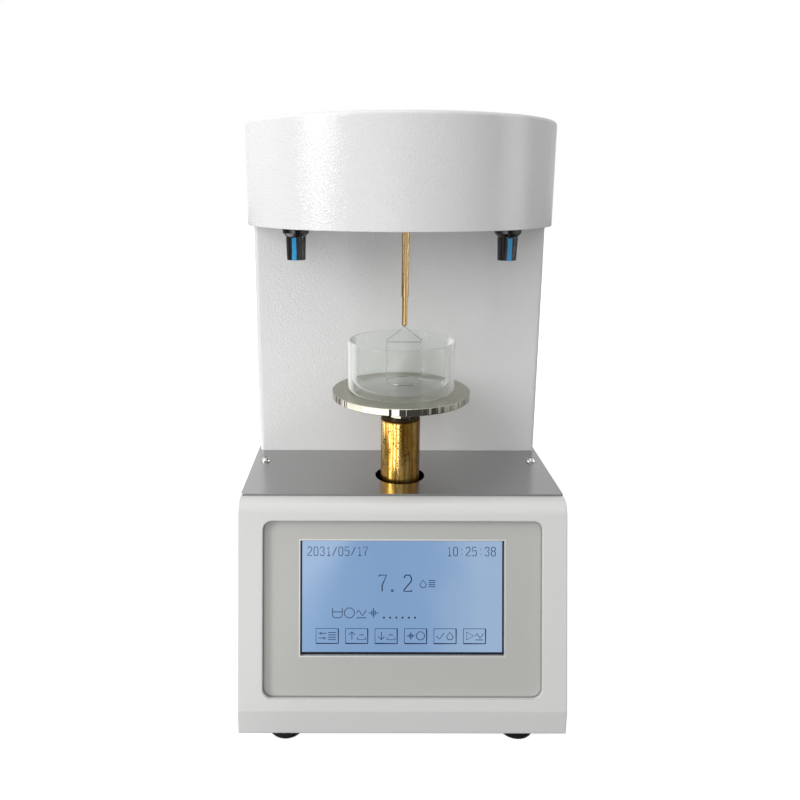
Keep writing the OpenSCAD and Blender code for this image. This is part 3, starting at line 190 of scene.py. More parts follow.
def bumped(tree, height, depth_mm, **more):
    """The surface's direction after a bump of this depth."""
    return add(tree, "ShaderNodeBump", Strength=1.0, Distance=depth_mm * MM, Height=height,
               **more).outputs["Normal"]


def how_level(tree):
    """1 where the surface lies level, 0 where it stands upright."""
    normal = add(tree, "ShaderNodeNewGeometry").outputs["Normal"]
    return reckon(tree, "ABSOLUTE", add(tree, "ShaderNodeSeparateXYZ", Vector=normal).outputs["Z"])


def overlay(tree, share, colour, hex_colour):
    """A colour with a share of another over it. Inputs 6 and 7 are the two colours."""
    return add(tree, "ShaderNodeMix", {"data_type": "RGBA"}, Factor=share, in6=colour,
               in7=linear(hex_colour)).outputs[2]


def ramp(tree, factor, *stops):
    """A colour ramp through (place, hex colour) stops."""
    made = add(tree, "ShaderNodeValToRGB", Fac=factor)
    while len(made.color_ramp.elements) < len(stops):
        made.color_ramp.elements.new(0.5)
    for element, (place, hex_colour) in zip(made.color_ramp.elements, stops):
        element.position = place
        element.color = linear(hex_colour)
    return made.outputs["Color"]


print("roughness wanders by", GLOSS_SPREAD, "each way")

# %% [markdown]
# ## Powder coat
# The head and the column are steel sheet with a textured powder coat: a polyester paint
# that is sprayed on dry and baked, and flows into small round-shouldered bumps about a
# millimetre wide. The bumps break each highlight into glitter. One noise gives the bumps
# and a finer one their grain, and a Bevel node rounds the folded edges, where the paint
# always catches a thin line of light. The base has the same kind of paint, a little
# darker, duller and much smoother.

# %% Powder coats
COAT_SPREAD = 0.05   # how far the coat's roughness wanders each way
HANDLED_MM = 25      # the size of the patches that handling leaves
GRAIN_SHARE = 0.35   # the grain's height beside the bumps'


def powder_coat(name, white, shadow_white, bump_mm, grain_mm, depth_mm, roughness, edge_mm):
    """A baked paint; the sizes are those of its bumps, grain, relief and soft edges."""
    material, tree, shader = finish(name, IOR=1.5)
    place = object_place(tree)
    bumps = noise(tree, place, bump_mm, 2.0, 0.45)
    grain = noise(tree, place, grain_mm, 2.0, 0.6)
    handled = noise(tree, place, HANDLED_MM, 3.0)
    height = reckon(tree, "MULTIPLY_ADD", grain, GRAIN_SHARE, bumps)
    soft_edge = add(tree, "ShaderNodeBevel", {"samples": 4}, Radius=edge_mm * MM).outputs[0]
    connect(tree, shader, Base_Color=ramp(tree, bumps, (0.3, shadow_white), (0.6, white)),
            Roughness=wander(tree, handled, roughness, COAT_SPREAD),
            Normal=bumped(tree, height, depth_mm, Normal=soft_edge))
    return material


# The head's and the column's coat.
textured_white = powder_coat("textured_white_powder_coat", "#ECECEC", "#EAEAEA",
                             0.9, 0.5, 0.18, 0.1, 0.6)
# The base's coat.
smooth_white = powder_coat("smooth_white_powder_coat", "#DFDFDE", "#DEDEDD",
                           1.2, 0.3, 0.025, 0.32, 1.0)
print("coats:", textured_white.name, smooth_white.name)

# %% [markdown]
# ## Metals
# Rolled stainless sheet shows fine grain along one direction, turned parts show rings.
# Both are the same idea: noise that is stretched along the grain, in the roughness and
# in a very shallow bump. The stretch is three factors along X, Y and Z, and a small one
# is the way of the grain.

# %% Metals
def worked_metal(name, colour, roughness, stretch, grain_mm, depth_mm):
    """A metal with the grain of the tool or the rolls that made its surface."""
    material, tree, shader = finish(name, Metallic=1.0, Base_Color=linear(colour))
    grain = noise(tree, stretched(tree, object_place(tree), stretch), grain_mm, 3.0)
    connect(tree, shader, Roughness=wander(tree, grain, roughness),
            Normal=bumped(tree, grain, depth_mm))
    return material


# The deck's sheet, then the plated sheet and the milled plates inside.
satin_stainless = worked_metal("satin_stainless_sheet", "#AAAAAA", 0.22, (0.02, 1, 1), 0.4, 0.002)
zinc_plate = worked_metal("zinc_plated_sheet", "#B4B6B8", 0.4, (0.1, 1, 1), 0.8, 0.004)
satin_aluminium = worked_metal("satin_anodised_aluminium", "#BFC1C4", 0.42, (1, 0.1, 1), 0.5, 0.003)
# Turned pieces: screws and shafts, the hanging rod, and the lift's bushes.
bright_steel = worked_metal("turned_bright_steel", "#D2D2D0", 0.16, (1, 1, 0.1), 0.5, 0.001)
bright_brass = worked_metal("turned_brass_rod", "#BC9F72", 0.18, (1, 1, 0.05), 0.5, 0.002)
sintered_bronze = worked_metal("sintered_bronze_bush", "#9C7048", 0.5, (1, 1, 1), 0.4, 0.01)
# The measuring ring's wire.
platinum = worked_metal("drawn_platinum_wire", "#B4B3B0", 0.25, (1, 1, 0.1), 0.2, 0.001)
print("metals:", satin_stainless.name, bright_steel.name, bright_brass.name, platinum.name)

# %% [markdown]
# ## The sample table's steel
# The table is turned from stainless bar. Its face is satin, with tool rings too fine to
# see, and its edge is bright and shows upright bands of light and dark, because a turned
# edge is never quite round. A noise that hardly changes along Z gives the bands, and it
# works only where the surface stands upright.

# %% Turned table steel
BAND_MM, BAND_DEPTH_MM = 3.0, 1.1
EDGE_ROUGHNESS, FACE_ROUGHNESS = 0.06, 0.34

table_steel, tree, shader = finish("turned_table_steel", Metallic=1.0, Base_Color=linear("#ACA99C"))
level_face = how_level(tree)
upright = reckon(tree, "SUBTRACT", 1.0, level_face)
bands = noise(tree, stretched(tree, object_place(tree), (1, 1, 0.01)), BAND_MM, 1.0)
band_height = reckon(tree, "MULTIPLY", bands, upright)
connect(tree, shader, Normal=bumped(tree, band_height, BAND_DEPTH_MM),
        Roughness=carry(tree, level_face, result=(EDGE_ROUGHNESS, FACE_ROUGHNESS)))
print(table_steel.name, "has bands about", BAND_MM, "mm wide")

# %% [markdown]
# ## The lift column's brass
# The column is drawn brass that has been handled for years. Drawing leaves upright
# lines, fingers and splashes leave brown specks, and the chamfer at the top is darker.
# The right side is painted browner than the left: painted shade, for the side away from
# the light. The lines colour the metal, and three masks lay a dark brown over them:
# specks, the rim and the painted shade of the right side.

# %% Stained brass, with painted shade on the right side
LINE_MM, LINE_DEPTH_MM = 1.1, 0.06
SPECK_MM, PATCH_MM, PATCH_SHARE, SPECK_LEVELS = 0.55, 6, 0.45, (0.81, 0.85)
RIM_FROM, RIM_TO = 1.6 * MM, 0.6 * MM
SHADE_SIDE_FROM, SHADE_SIDE_TO, SHADE_SIDE_SHARE = 0.5 * MM, 6 * MM, 0.85
CLEAN_ROUGHNESS, STAINED_ROUGHNESS = 0.26, 0.45

aged_brass, tree, shader = finish("stained_drawn_brass", Metallic=1.0)
place = object_place(tree)
where = add(tree, "ShaderNodeSeparateXYZ", Vector=place)
column_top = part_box("lift_column")[1].z
drawn = noise(tree, stretched(tree, place, (1, 1, 0.03)), LINE_MM, 2.0)
drawn_colour = ramp(tree, drawn, (0.38, "#B4802E"), (0.5, "#E2B45A"), (0.6, "#F8DC94"))
specks = noise(tree, stretched(tree, place, (1, 1, 0.7)), SPECK_MM, 1.0)
patches = noise(tree, place, PATCH_MM, 1.0)
speck_near = reckon(tree, "MULTIPLY_ADD", patches, PATCH_SHARE, specks)
speck_mask = carry(tree, speck_near, SPECK_LEVELS)
rim_mask = carry(tree, where.outputs["Z"], (column_top - RIM_FROM, column_top - RIM_TO))
# Painted shade: the right side is laid over with dark brown, for the side away from the light.
painted_shade_side = carry(tree, where.outputs["X"], (SHADE_SIDE_FROM, SHADE_SIDE_TO), (0.0, SHADE_SIDE_SHARE))
spots_and_rim = reckon(tree, "MAXIMUM", speck_mask, rim_mask)
stain_and_painted_shade = reckon(tree, "MAXIMUM", spots_and_rim, painted_shade_side)
connect(tree, shader, Base_Color=overlay(tree, stain_and_painted_shade, drawn_colour, "#5C3E14"),
        Roughness=carry(tree, stain_and_painted_shade, result=(CLEAN_ROUGHNESS, STAINED_ROUGHNESS)),
        Normal=bumped(tree, drawn, LINE_DEPTH_MM))
print(aged_brass.name, "goes dark", round(RIM_FROM / MM, 1), "mm below the column's top")

# %% [markdown]
# ## Plastics, paint and boards
# Moulded plastics carry the fine spark texture of their mould, which dulls the gloss
# unevenly. The same node list also serves the panel's satin paint, the motor's enamel,
# the display's ink and the green solder mask of a circuit board.

# %% Plastics, paint and boards
def fine_grained(name, colour, roughness, grain_mm, depth_mm, darker=None):
    """A plastic or a thin paint, a little darker in the low places of its grain."""
    material, tree, shader = finish(name, IOR=1.49)
    grain = noise(tree, object_place(tree), grain_mm, 2.0)
    connect(tree, shader, Roughness=wander(tree, grain, roughness),
            Base_Color=ramp(tree, grain, (0.35, darker or colour), (0.65, colour)),
            Normal=bumped(tree, grain, depth_mm))
    return material


# What the photograph shows: the panel, its trim, the knobs, their pointers and the feet.
grey_panel = fine_grained("grey_satin_panel_paint", "#C1C1BD", 0.3, 0.4, 0.002, "#BDBDB9")
# The trim is painted paler than the panel: a painted highlight along the chamfer.
highlight_trim_paint = fine_grained("pale_satin_trim_paint", "#E2E2DE", 0.3, 0.4, 0.002)
knob_black = fine_grained("black_phenolic_knob", "#121214", 0.16, 0.5, 0.003, "#0C0C0E")
pointer_blue = fine_grained("blue_abs_pointer", "#2FA4E0", 0.2, 0.6, 0.003, "#2A9AD6")
foot_black = fine_grained("black_nylon_foot", "#1E1E20", 0.5, 0.5, 0.01, "#161618")
# The sockets and the switch on the back, and what is inside.
connector_black = fine_grained("black_nylon_connector", "#161617", 0.45, 0.4, 0.008, "#101011")
switch_black = fine_grained("black_abs_rocker", "#1A1A1C", 0.3, 0.5, 0.004, "#151517")
pot_case = fine_grained("grey_potentiometer_case", "#3A4044", 0.4, 0.6, 0.004, "#33393D")
motor_black = fine_grained("black_motor_enamel", "#1E1F21", 0.4, 0.5, 0.006, "#18191B")
board_green = fine_grained("green_solder_mask", "#1E5A38", 0.35, 1.2, 0.02, "#174A2E")
# The display's strokes and the dark border round them.
screen_ink = fine_grained("dark_blue_display_ink", "#142C58", 0.3, 0.5, 0.001, "#102650")
border_navy = fine_grained("navy_display_border", "#10182C", 0.3, 0.5, 0.001, "#0C1424")
print("fine grained:", grey_panel.name, knob_black.name, screen_ink.name, "and nine more")

# %% [markdown]
# ## The lit screen
# Behind the touch glass is a blue-backlit liquid crystal. Its glow is painted uneven:
# paler at both ends and faintly cloudy, a painted reflection of the room on the glass.
# The glass over it is nearly black in itself, so the colour comes from emission.

# %% Lit screen
CLOUD_MM, CLOUD_SHARE = 28, 0.22

screen_low, screen_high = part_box("touch_screen")
screen_lit, tree, shader = finish("backlit_liquid_crystal", Roughness=0.06,
                                  Base_Color=linear("#101828"), Emission_Strength=1.0)
place = object_place(tree)
across = add(tree, "ShaderNodeSeparateXYZ", Vector=place).outputs["X"]
along = carry(tree, across, (screen_low.x, screen_high.x))
# Painted reflection: the glow is laid paler towards both ends and cloudy.
painted_reflection = reckon(tree, "MULTIPLY_ADD", noise(tree, place, CLOUD_MM, 1.0), CLOUD_SHARE, along)
centred = reckon(tree, "SUBTRACT", painted_reflection, CLOUD_SHARE / 2)
glow_and_painted_reflection = ramp(tree, centred, (0.03, "#84A4C9"), (0.4, "#7E9DC3"), (0.62, "#809FC5"),
            (0.85, "#97B0CD"))
connect(tree, shader, Emission_Color=glow_and_painted_reflection)
print("screen in mm", [round(v / MM, 1) for v in screen_high - screen_low])

# %% [markdown]
# ## Painted shade in the corners
# Where the panel sits behind the window's edge, little light reaches, and that shade is
# painted into the colour. The depth of a corner is measured with ambient occlusion, and the paint
# goes dark with it.

# %% Painted shade in the corners
CLOSED = 0.4   # a corner this open or less gets all of its painted shade


def darken_corners(material, reach_mm, open_from, share):
    """Paints shade into a paint where less than open_from of the space within reach is open."""
    tree = material.node_tree
    shader = tree.nodes["Principled BSDF"]
    corner = add(tree, "ShaderNodeAmbientOcclusion", {"samples": 8}, Distance=reach_mm * MM)
    # Painted shade: the paint goes dark grey as the corner closes.
    painted_corner_shade = carry(tree, corner.outputs["AO"], (CLOSED, open_from), (share, 0.0))
    paint = shader.inputs["Base Color"].links[0].from_socket
    connect(tree, shader, Base_Color=overlay(tree, painted_corner_shade, paint, "#2C2C2B"))


darken_corners(grey_panel, 1.5, 0.8, 0.6)
darken_corners(smooth_white, 2.5, 0.85, 0.95)
print("corners darkened on", grey_panel.name, "and", smooth_white.name)

# %% [markdown]
# ## The dish's glass
# The wall is so thin that it bends almost nothing behind it, so the glass is built as a
# thin wall: clear where it is looked through, with a mirror layer that grows with the
# angle. Along the rim and the sides, where the eye looks down the wall, a white lit layer
# is mixed in as a painted highlight for the bright edges of the glass. The level bottom
# has less of that painted highlight.

# %% Clear glass
MIRROR_FACE_ON, MIRROR_EDGE_ON = 0.015, 0.2
EDGE_WHITE, BOTTOM_WHITE = 0.9, 0.2

clear_glass, tree, shader = finish("clear_soda_lime_glass", Roughness=0.2, IOR=1.5,
                                   Base_Color=linear("#FCFEFD"))
see_through = add(tree, "ShaderNodeBsdfTransparent", Color=linear("#FCFDFC")).outputs[0]
mirror_layer = add(tree, "ShaderNodeBsdfAnisotropic", Color=linear("#FFFFFF"),
                   Roughness=0.12).outputs[0]
turned_away = add(tree, "ShaderNodeLayerWeight", Blend=0.5).outputs["Facing"]
mirror_share = carry(tree, turned_away, (0.4, 1.0), (MIRROR_FACE_ON, MIRROR_EDGE_ON))
wall = mix_shaders(tree, mirror_share, see_through, mirror_layer)
# Painted highlight: the glass turns white where its wall is seen edge on.
painted_edge_highlight = carry(tree, turned_away, (0.52, 0.78), (0.0, EDGE_WHITE))
on_walls = carry(tree, how_level(tree), (0.8, 0.99), (1.0, BOTTOM_WHITE))
painted_highlight_share = reckon(tree, "MULTIPLY", painted_edge_highlight, on_walls)
show(tree, mix_shaders(tree, painted_highlight_share, wall, shader.outputs[0]))
print(clear_glass.name, "mirrors", MIRROR_FACE_ON, "face on and", MIRROR_EDGE_ON, "edge on")

# %% [markdown]
# ## Every solid gets its finish
# The record names a material slot for each solid, and the finishes above are laid on
# them. Two solids get a closer match: the base's smoother paint and the table's steel.

# %% Give every solid its finish
FINISH_OF = {
    "powder_coat": textured_white, "zinc_plate": zinc_plate, "aluminium": satin_aluminium,
    "bright_steel": bright_steel, "satin_steel": satin_stainless, "grey_panel": grey_panel,
    "screen_glass": screen_lit, "circuit_board": board_green, "foot_plastic": foot_black,
    "knob_plastic": knob_black, "blue_plastic": pointer_blue, "pot_metal": pot_case,
    "bright_brass": bright_brass, "platinum": platinum, "clear_glass": clear_glass,
    "aged_brass": aged_brass, "bronze": sintered_bronze, "motor_black": motor_black,
    "connector_plastic": connector_black, "rocker_plastic": switch_black,
    "connector_metal": zinc_plate,
}
for part in frame["record"]["subparts"]:
    solid = node[part["node"]]
    solid.data.materials.clear()
    solid.data.materials.append(FINISH_OF[part["material_slot"]])
node["base_housing"].data.materials[0] = smooth_white
node["sample_table"].data.materials[0] = table_steel
print("finished", len(node), "solids with", len(set(FINISH_OF.values())) + 2, "materials")

# %% [markdown]
# ## Growing pieces with Geometry Nodes
# What repeats is grown by a node tree: it is given a start mesh and its sizes, and gives
# back the finished mesh. The result is copied to a plain mesh at once, so that nothing
# live is left on the piece.

# %% Helpers for node trees
def size_tree(name, *sizes):
    """A Geometry Nodes tree with one number input for each size, and its two ends."""
    tree = bpy.data.node_groups.new(name, "GeometryNodeTree")
    tree.interface.new_socket("Geometry", in_out="INPUT", socket_type="NodeSocketGeometry")
    for size in sizes:
        tree.interface.new_socket(size, in_out="INPUT", socket_type="NodeSocketFloat")
    tree.interface.new_socket("Geometry", in_out="OUTPUT", socket_type="NodeSocketGeometry")
    return tree, tree.nodes.new("NodeGroupInput"), tree.nodes.new("NodeGroupOutput")


def close_tree(tree, end, mesh, material):
    """Ends a tree with Realize Instances and Set Material."""
    real = add(tree, "GeometryNodeRealizeInstances", Geometry=mesh)
    painted = add(tree, "GeometryNodeSetMaterial", Geometry=real.outputs[0], Material=material)
    tree.links.new(painted.outputs[0], end.inputs[0])
    print(tree.name, "has", len(tree.nodes), "nodes")


def grow(start_mesh, tree, sizes):
    """Runs a tree on a start mesh and gives back a plain mesh."""
    start = bpy.data.objects.new("start", start_mesh)
    bpy.context.scene.collection.objects.link(start)
    modifier = start.modifiers.new("grow", "NODES")
    modifier.node_group = tree
    for socket in tree.interface.items_tree:
        if socket.in_out == "INPUT" and socket.name in sizes:
            modifier[socket.identifier] = sizes[socket.name]
    view = bpy.context.evaluated_depsgraph_get()
    grown = bpy.data.meshes.new_from_object(start.evaluated_get(view))
    bpy.data.objects.remove(start)
    return grown


# %% Helper for pieces
def place_piece(name, mesh, body, smooth_degrees=35):
    """Puts a finished mesh in the scene as one piece that rides on a body."""
    mesh.name = name
    mesh.shade_smooth()
    mesh.set_sharp_from_angle(angle=math.radians(smooth_degrees))
    piece = bpy.data.objects.new(name, mesh)
    bpy.context.scene.collection.objects.link(piece)
    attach(piece, body)
    print(name, len(mesh.polygons), "faces, size in mm",
          [round(v / MM, 1) for v in piece.dimensions])
    return piece


# %% [markdown]
# ## Pan-head screws
# The small screws are turned and pressed: a low dome with rounded shoulders and a cross
# in it. The measured solids know where each one sits, so their lumps are found first.
# The head is the wide end of a lump, and it says which way the screw looks. One tree then
# makes one screw and sets it on every seat.

# %% Find the screws' seats
HEAD_D, HEAD_H, SHANK_D = 5.6 * MM, 2.2 * MM, 3.0 * MM
BEYOND_SHANK = SHANK_D * 0.6   # a point this far from the screw's axis is on its head
SAME_POINT = 1e-6


def loose_lumps(solid):
    """The corners of each connected lump of a solid, as arrays."""
    mesh = bmesh.new()
    mesh.from_mesh(solid.data)
    bmesh.ops.remove_doubles(mesh, verts=mesh.verts, dist=SAME_POINT)
    unseen = set(mesh.verts)
    lumps = []
    while unseen:
        edge_of_search = [unseen.pop()]
        lump = []
        while edge_of_search:
            corner = edge_of_search.pop()
            lump.append(np.array(corner.co))
            for edge in corner.link_edges:
                other = edge.other_vert(corner)
                if other in unseen:
                    unseen.remove(other)
                    edge_of_search.append(other)
        lumps.append(np.array(lump))
    mesh.free()
    return lumps


def screw_seat(lump):
    """(seat, way it looks, shank length) of the screw that a lump stands for."""
    low, high = lump.min(axis=0), lump.max(axis=0)
    axis = int(np.argmax(high - low))
    middle = (low + high) / 2
    beside = np.delete(lump - middle, axis, axis=1)
    wide = np.hypot(beside[:, 0], beside[:, 1]) > BEYOND_SHANK
    sign = 1.0 if lump[wide, axis].mean() > middle[axis] else -1.0
    way = np.zeros(3)
    way[axis] = sign
    seat = middle.copy()
    seat[axis] = (high[axis] if sign > 0 else low[axis]) - sign * HEAD_H
    return seat, way, high[axis] - low[axis] - HEAD_H


seats_of = {name: [screw_seat(lump) for lump in loose_lumps(node[name])]
            for name in ("deck_screws", "base_screws", "column_screws", "head_screws")}
print({name: len(seats) for name, seats in seats_of.items()})

# %% The screw's domed head
DOME_FROM, DOME_TO, DOME_RIM = 0.45, 1.15, 0.2   # shares of the radius, and of the height

screw_tree, start, end = size_tree("pan_head_screw", "Head radius", "Head height",
                                   "Shank radius", "Shank length")
head_radius, head_height = start.outputs["Head radius"], start.outputs["Head height"]
blank = add(screw_tree, "GeometryNodeMeshCylinder", {"fill_type": "TRIANGLE_FAN"}, Vertices=40,
            Radius=head_radius, Depth=head_height, Fill_Segments=8)
at = add(screw_tree, "ShaderNodeSeparateXYZ",
         Vector=add(screw_tree, "GeometryNodeInputPosition").outputs[0])
flat = add(screw_tree, "ShaderNodeCombineXYZ", X=at.outputs["X"], Y=at.outputs["Y"])
from_middle = add(screw_tree, "ShaderNodeVectorMath", {"operation": "LENGTH"},
                  in0=flat.outputs[0]).outputs["Value"]
dome = add(screw_tree, "ShaderNodeMapRange", {"interpolation_type": "SMOOTHSTEP"},
           Value=reckon(screw_tree, "DIVIDE", from_middle, head_radius),
           From_Min=DOME_FROM, From_Max=DOME_TO, To_Min=1.0, To_Max=DOME_RIM)
top_z = reckon(screw_tree, "MULTIPLY", dome.outputs[0], head_height)
is_top = reckon(screw_tree, "GREATER_THAN", at.outputs["Z"], 0.0)
domed_at = add(screw_tree, "ShaderNodeCombineXYZ", X=at.outputs["X"], Y=at.outputs["Y"],
               Z=reckon(screw_tree, "MULTIPLY", top_z, is_top))
domed = add(screw_tree, "GeometryNodeSetPosition", Geometry=blank.outputs["Mesh"],
            Position=domed_at.outputs[0])
print("domed head", round(HEAD_D / MM, 1), "by", round(HEAD_H / MM, 1), "mm")

# %% The screw's cross, its shank and its seats
CROSS_LONG, CROSS_WIDE, CROSS_DEEP = 2.9 * MM, 0.7 * MM, 2.0 * MM

recess = add(screw_tree, "GeometryNodeMeshBoolean",
             {"operation": "DIFFERENCE", "solver": "EXACT"},
             Mesh_1=domed.outputs[0], Self_Intersection=True)
on_top = add(screw_tree, "ShaderNodeCombineXYZ", Z=head_height).outputs[0]
for groove_size in ((CROSS_LONG, CROSS_WIDE, CROSS_DEEP), (CROSS_WIDE, CROSS_LONG, CROSS_DEEP)):
    groove = add(screw_tree, "GeometryNodeMeshCube", Size=groove_size)
    cutter = add(screw_tree, "GeometryNodeTransform", Geometry=groove.outputs[0],
                 Translation=on_top)
    screw_tree.links.new(cutter.outputs[0], recess.inputs["Mesh 2"])
shank = add(screw_tree, "GeometryNodeMeshCylinder", Vertices=24,
            Radius=start.outputs["Shank radius"], Depth=start.outputs["Shank length"])
half_down = reckon(screw_tree, "MULTIPLY", start.outputs["Shank length"], -0.5)
shank_set = add(screw_tree, "GeometryNodeTransform", Geometry=shank.outputs["Mesh"],
                Translation=add(screw_tree, "ShaderNodeCombineXYZ", Z=half_down).outputs[0])
screw = add(screw_tree, "GeometryNodeJoinGeometry")
screw_tree.links.new(recess.outputs["Mesh"], screw.inputs[0])
screw_tree.links.new(shank_set.outputs[0], screw.inputs[0])
looks = add(screw_tree, "GeometryNodeInputNamedAttribute", {"data_type": "FLOAT_VECTOR"},
            Name="looks")
turned = add(screw_tree, "FunctionNodeAlignRotationToVector", {"axis": "Z"},
             Vector=looks.outputs[0])
set_out = add(screw_tree, "GeometryNodeInstanceOnPoints", Points=start.outputs["Geometry"],
              Instance=screw.outputs[0], Rotation=turned.outputs[0])
close_tree(screw_tree, end, set_out.outputs[0], bright_steel)

# %% Set the screws
for name, seats in seats_of.items():
    points = bpy.data.meshes.new(name + "_seats")
    points.from_pydata([seat for seat, way, length in seats], [], [])
    looks_way = points.attributes.new("looks", "FLOAT_VECTOR", "POINT")
    for at_seat, (seat, way, length) in zip(looks_way.data, seats):
        at_seat.vector = way
    sizes = {"Head radius": HEAD_D / 2, "Head height": HEAD_H,
             "Shank radius": SHANK_D / 2, "Shank length": seats[0][2]}
    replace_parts(place_piece("domed_" + name, grow(points, screw_tree, sizes),
                            "frame", 50), name)

# %% [markdown]
# ## The sample dish
# The dish is blown glass with a fire-polished lip, a rounded foot and a soft inner
# corner. It is a shape on a wheel, so its section is drawn once, with true arcs, and spun
# about the lift axis. It stands a twentieth of a millimetre above the table, so that the
# glass and the steel never share a face, which would render as a mottled patch.

# %% Spin the dish
DISH_R, DISH_H, DISH_WALL = 29.4, 28.1, 2.0
INNER_CORNER, FOOT_ROUND, LIP, STAND = 6.0, 2.5, 1.0, 0.05
HOLLOW, HOLLOW_FROM, HOLLOW_TO = 0.35, 9, 6   # under the foot, measured from the wall in
SPIN_STEPS = 128
TABLE_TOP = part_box("sample_table")[1].z


def arc(cx, cz, radius, first, last, steps=8):
    """Points of an arc in the section, from one angle to another, in degrees."""
    turns = [math.radians(first + (last - first) * i / steps) for i in range(steps + 1)]
    return [(cx + radius * math.cos(t), cz + radius * math.sin(t)) for t in turns]


section = [(0, STAND + HOLLOW), (DISH_R - HOLLOW_FROM, STAND + HOLLOW), (DISH_R - HOLLOW_TO, STAND)]
section += arc(DISH_R - FOOT_ROUND, STAND + FOOT_ROUND, FOOT_ROUND, -90, 0)
section += arc(DISH_R - LIP, DISH_H - LIP, LIP, 0, 180)
section += arc(DISH_R - DISH_WALL - INNER_CORNER, DISH_WALL + INNER_CORNER, INNER_CORNER, 0, -90, 10)
section += [(0, DISH_WALL)]
wheel = bmesh.new()
outline = [wheel.verts.new((r * MM, LIFT_AXIS_Y, TABLE_TOP + z * MM)) for r, z in section]
lines = [wheel.edges.new(pair) for pair in zip(outline, outline[1:])]
bmesh.ops.spin(wheel, geom=outline + lines, cent=(0, LIFT_AXIS_Y, 0), axis=(0, 0, 1),
               angle=math.tau, steps=SPIN_STEPS, use_merge=True)
bmesh.ops.remove_doubles(wheel, verts=wheel.verts, dist=SAME_POINT)
bmesh.ops.recalc_face_normals(wheel, faces=wheel.faces)
dish_mesh = bpy.data.meshes.new("blown_dish")
wheel.to_mesh(dish_mesh)
wheel.free()
dish_mesh.materials.append(clear_glass)
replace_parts(place_piece("blown_dish", dish_mesh, "table", 60), "sample_dish")

# %% [markdown]
# ## What the screen shows
# The screen is a dot display that shows plain figures: a date, a clock, one large
# reading, and six keys with simple signs. Each figure is a few strokes on a small grid.
# The strokes are edges in a start mesh, and one tree turns every edge chain to a thin
# film of ink, so the stroke width is a single number.

# %% Figures and signs as strokes
STROKES = {
    "0": "2,0 5,0 6,2 6,9 5,11 2,11 1,9 1,2 2,0", "1": "2,9 4,11 4,0|2,0 6,0",
    "2": "1,9 2,11 5,11 6,9 6,7 1,1 1,0 6,0 6,1",
    "3": "1,9 2,11 5,11 6,9 6,7 4,6 6,4 6,2 5,0 2,0 1,2",
    "5": "6,11 1,11 1,6 5,7 6,5 6,2 5,0 2,0 1,1", "7": "1,10 1,11 6,11 3,4 3,0",
    "8": "2,6 1,8 1,10 2,11 5,11 6,10 6,8 5,6 2,6 1,4 1,1 2,0 5,0 6,1 6,4 5,6",
    "/": "1,0 6,11", ":": "3,2 4,2|3,8 4,8", ".": "1,0 2,0 2,1 1,1 1,0",
    "up": "5,0 5,10|1,6 5,10 9,6", "down": "5,10 5,0|1,4 5,0 9,4",
    "tray": "0,3 0,0 10,0 10,3|2,6 8,6", "bars": "0,0 10,0|0,3 10,3|0,6 10,6|0,9 10,9",
    "sliders": "0,8 10,8|0,2 10,2|3,6 3,10|7,0 7,4",
    "ring": "3,0 7,0 10,3 10,7 7,10 3,10 0,7 0,3 3,0",
    "cross": "5,0 5,10|0,5 10,5|3,3 7,3 7,7 3,7 3,3",
    "drop": "5,10 1,4 2,1 5,0 8,1 9,4 5,10", "wave": "0,5 2,8 4,5 6,2 8,5 10,8|0,0 10,0",
    "tick": "0,5 4,1 10,9", "play": "1,0 10,5 1,10 1,0",
    "glass": "0,10 0,2 2,0 8,0 10,2 10,10|0,6 10,6",
}
FIGURE_GRID, SIGN_GRID = 11, 10
thin_lines, bold_lines = [], []


def draw(chains, name, left, top, tall, grid_tall=SIGN_GRID):
    """Adds a figure whose top left corner is at (left, top) mm from the display's."""
    unit = tall / grid_tall
    for chain in STROKES[name].split("|"):
        steps = [tuple(float(n) for n in pair.split(",")) for pair in chain.split()]
        chains.append([(left + x * unit, top + tall - y * unit) for x, y in steps])


def write(chains, text, left, top, tall, pitch):
    """Adds a line of figures that stand one pitch apart."""
    for i, figure in enumerate(text):
        draw(chains, figure, left + i * pitch, top, tall, FIGURE_GRID)


print(len(STROKES), "figures and signs")

# %% Lay out the screen, in millimetres from its top left corner
DISPLAY_W, DISPLAY_H = 108.0, 61.0
TOP_LINE, TOP_TALL = 4.0, 4.6
NOTE_LEFT, NOTE_PITCH, NOTE_TOP, NOTE_TALL = 17.0, 6.4, 36.4, 5.2
DOT_LEFT, DOT_PITCH, DOT_TOP, DOT_TALL = 43.6, 3.3, 41.2, 0.5
KEY_LEFT, KEY_PITCH, KEY_W, KEY_TOP, KEY_LOW = 8.3, 15.65, 11.8, 47.3, 55.2
KEY_SHADE, SIGN_TOP, SIGN_TALL, SIGN_PLACES = 0.2, 49.0, 4.2, (1.3, 6.4)
KEY_SIGNS = (("sliders", "bars"), ("up", "tray"), ("down", "tray"),
             ("cross", "ring"), ("tick", "drop"), ("play", "wave"))

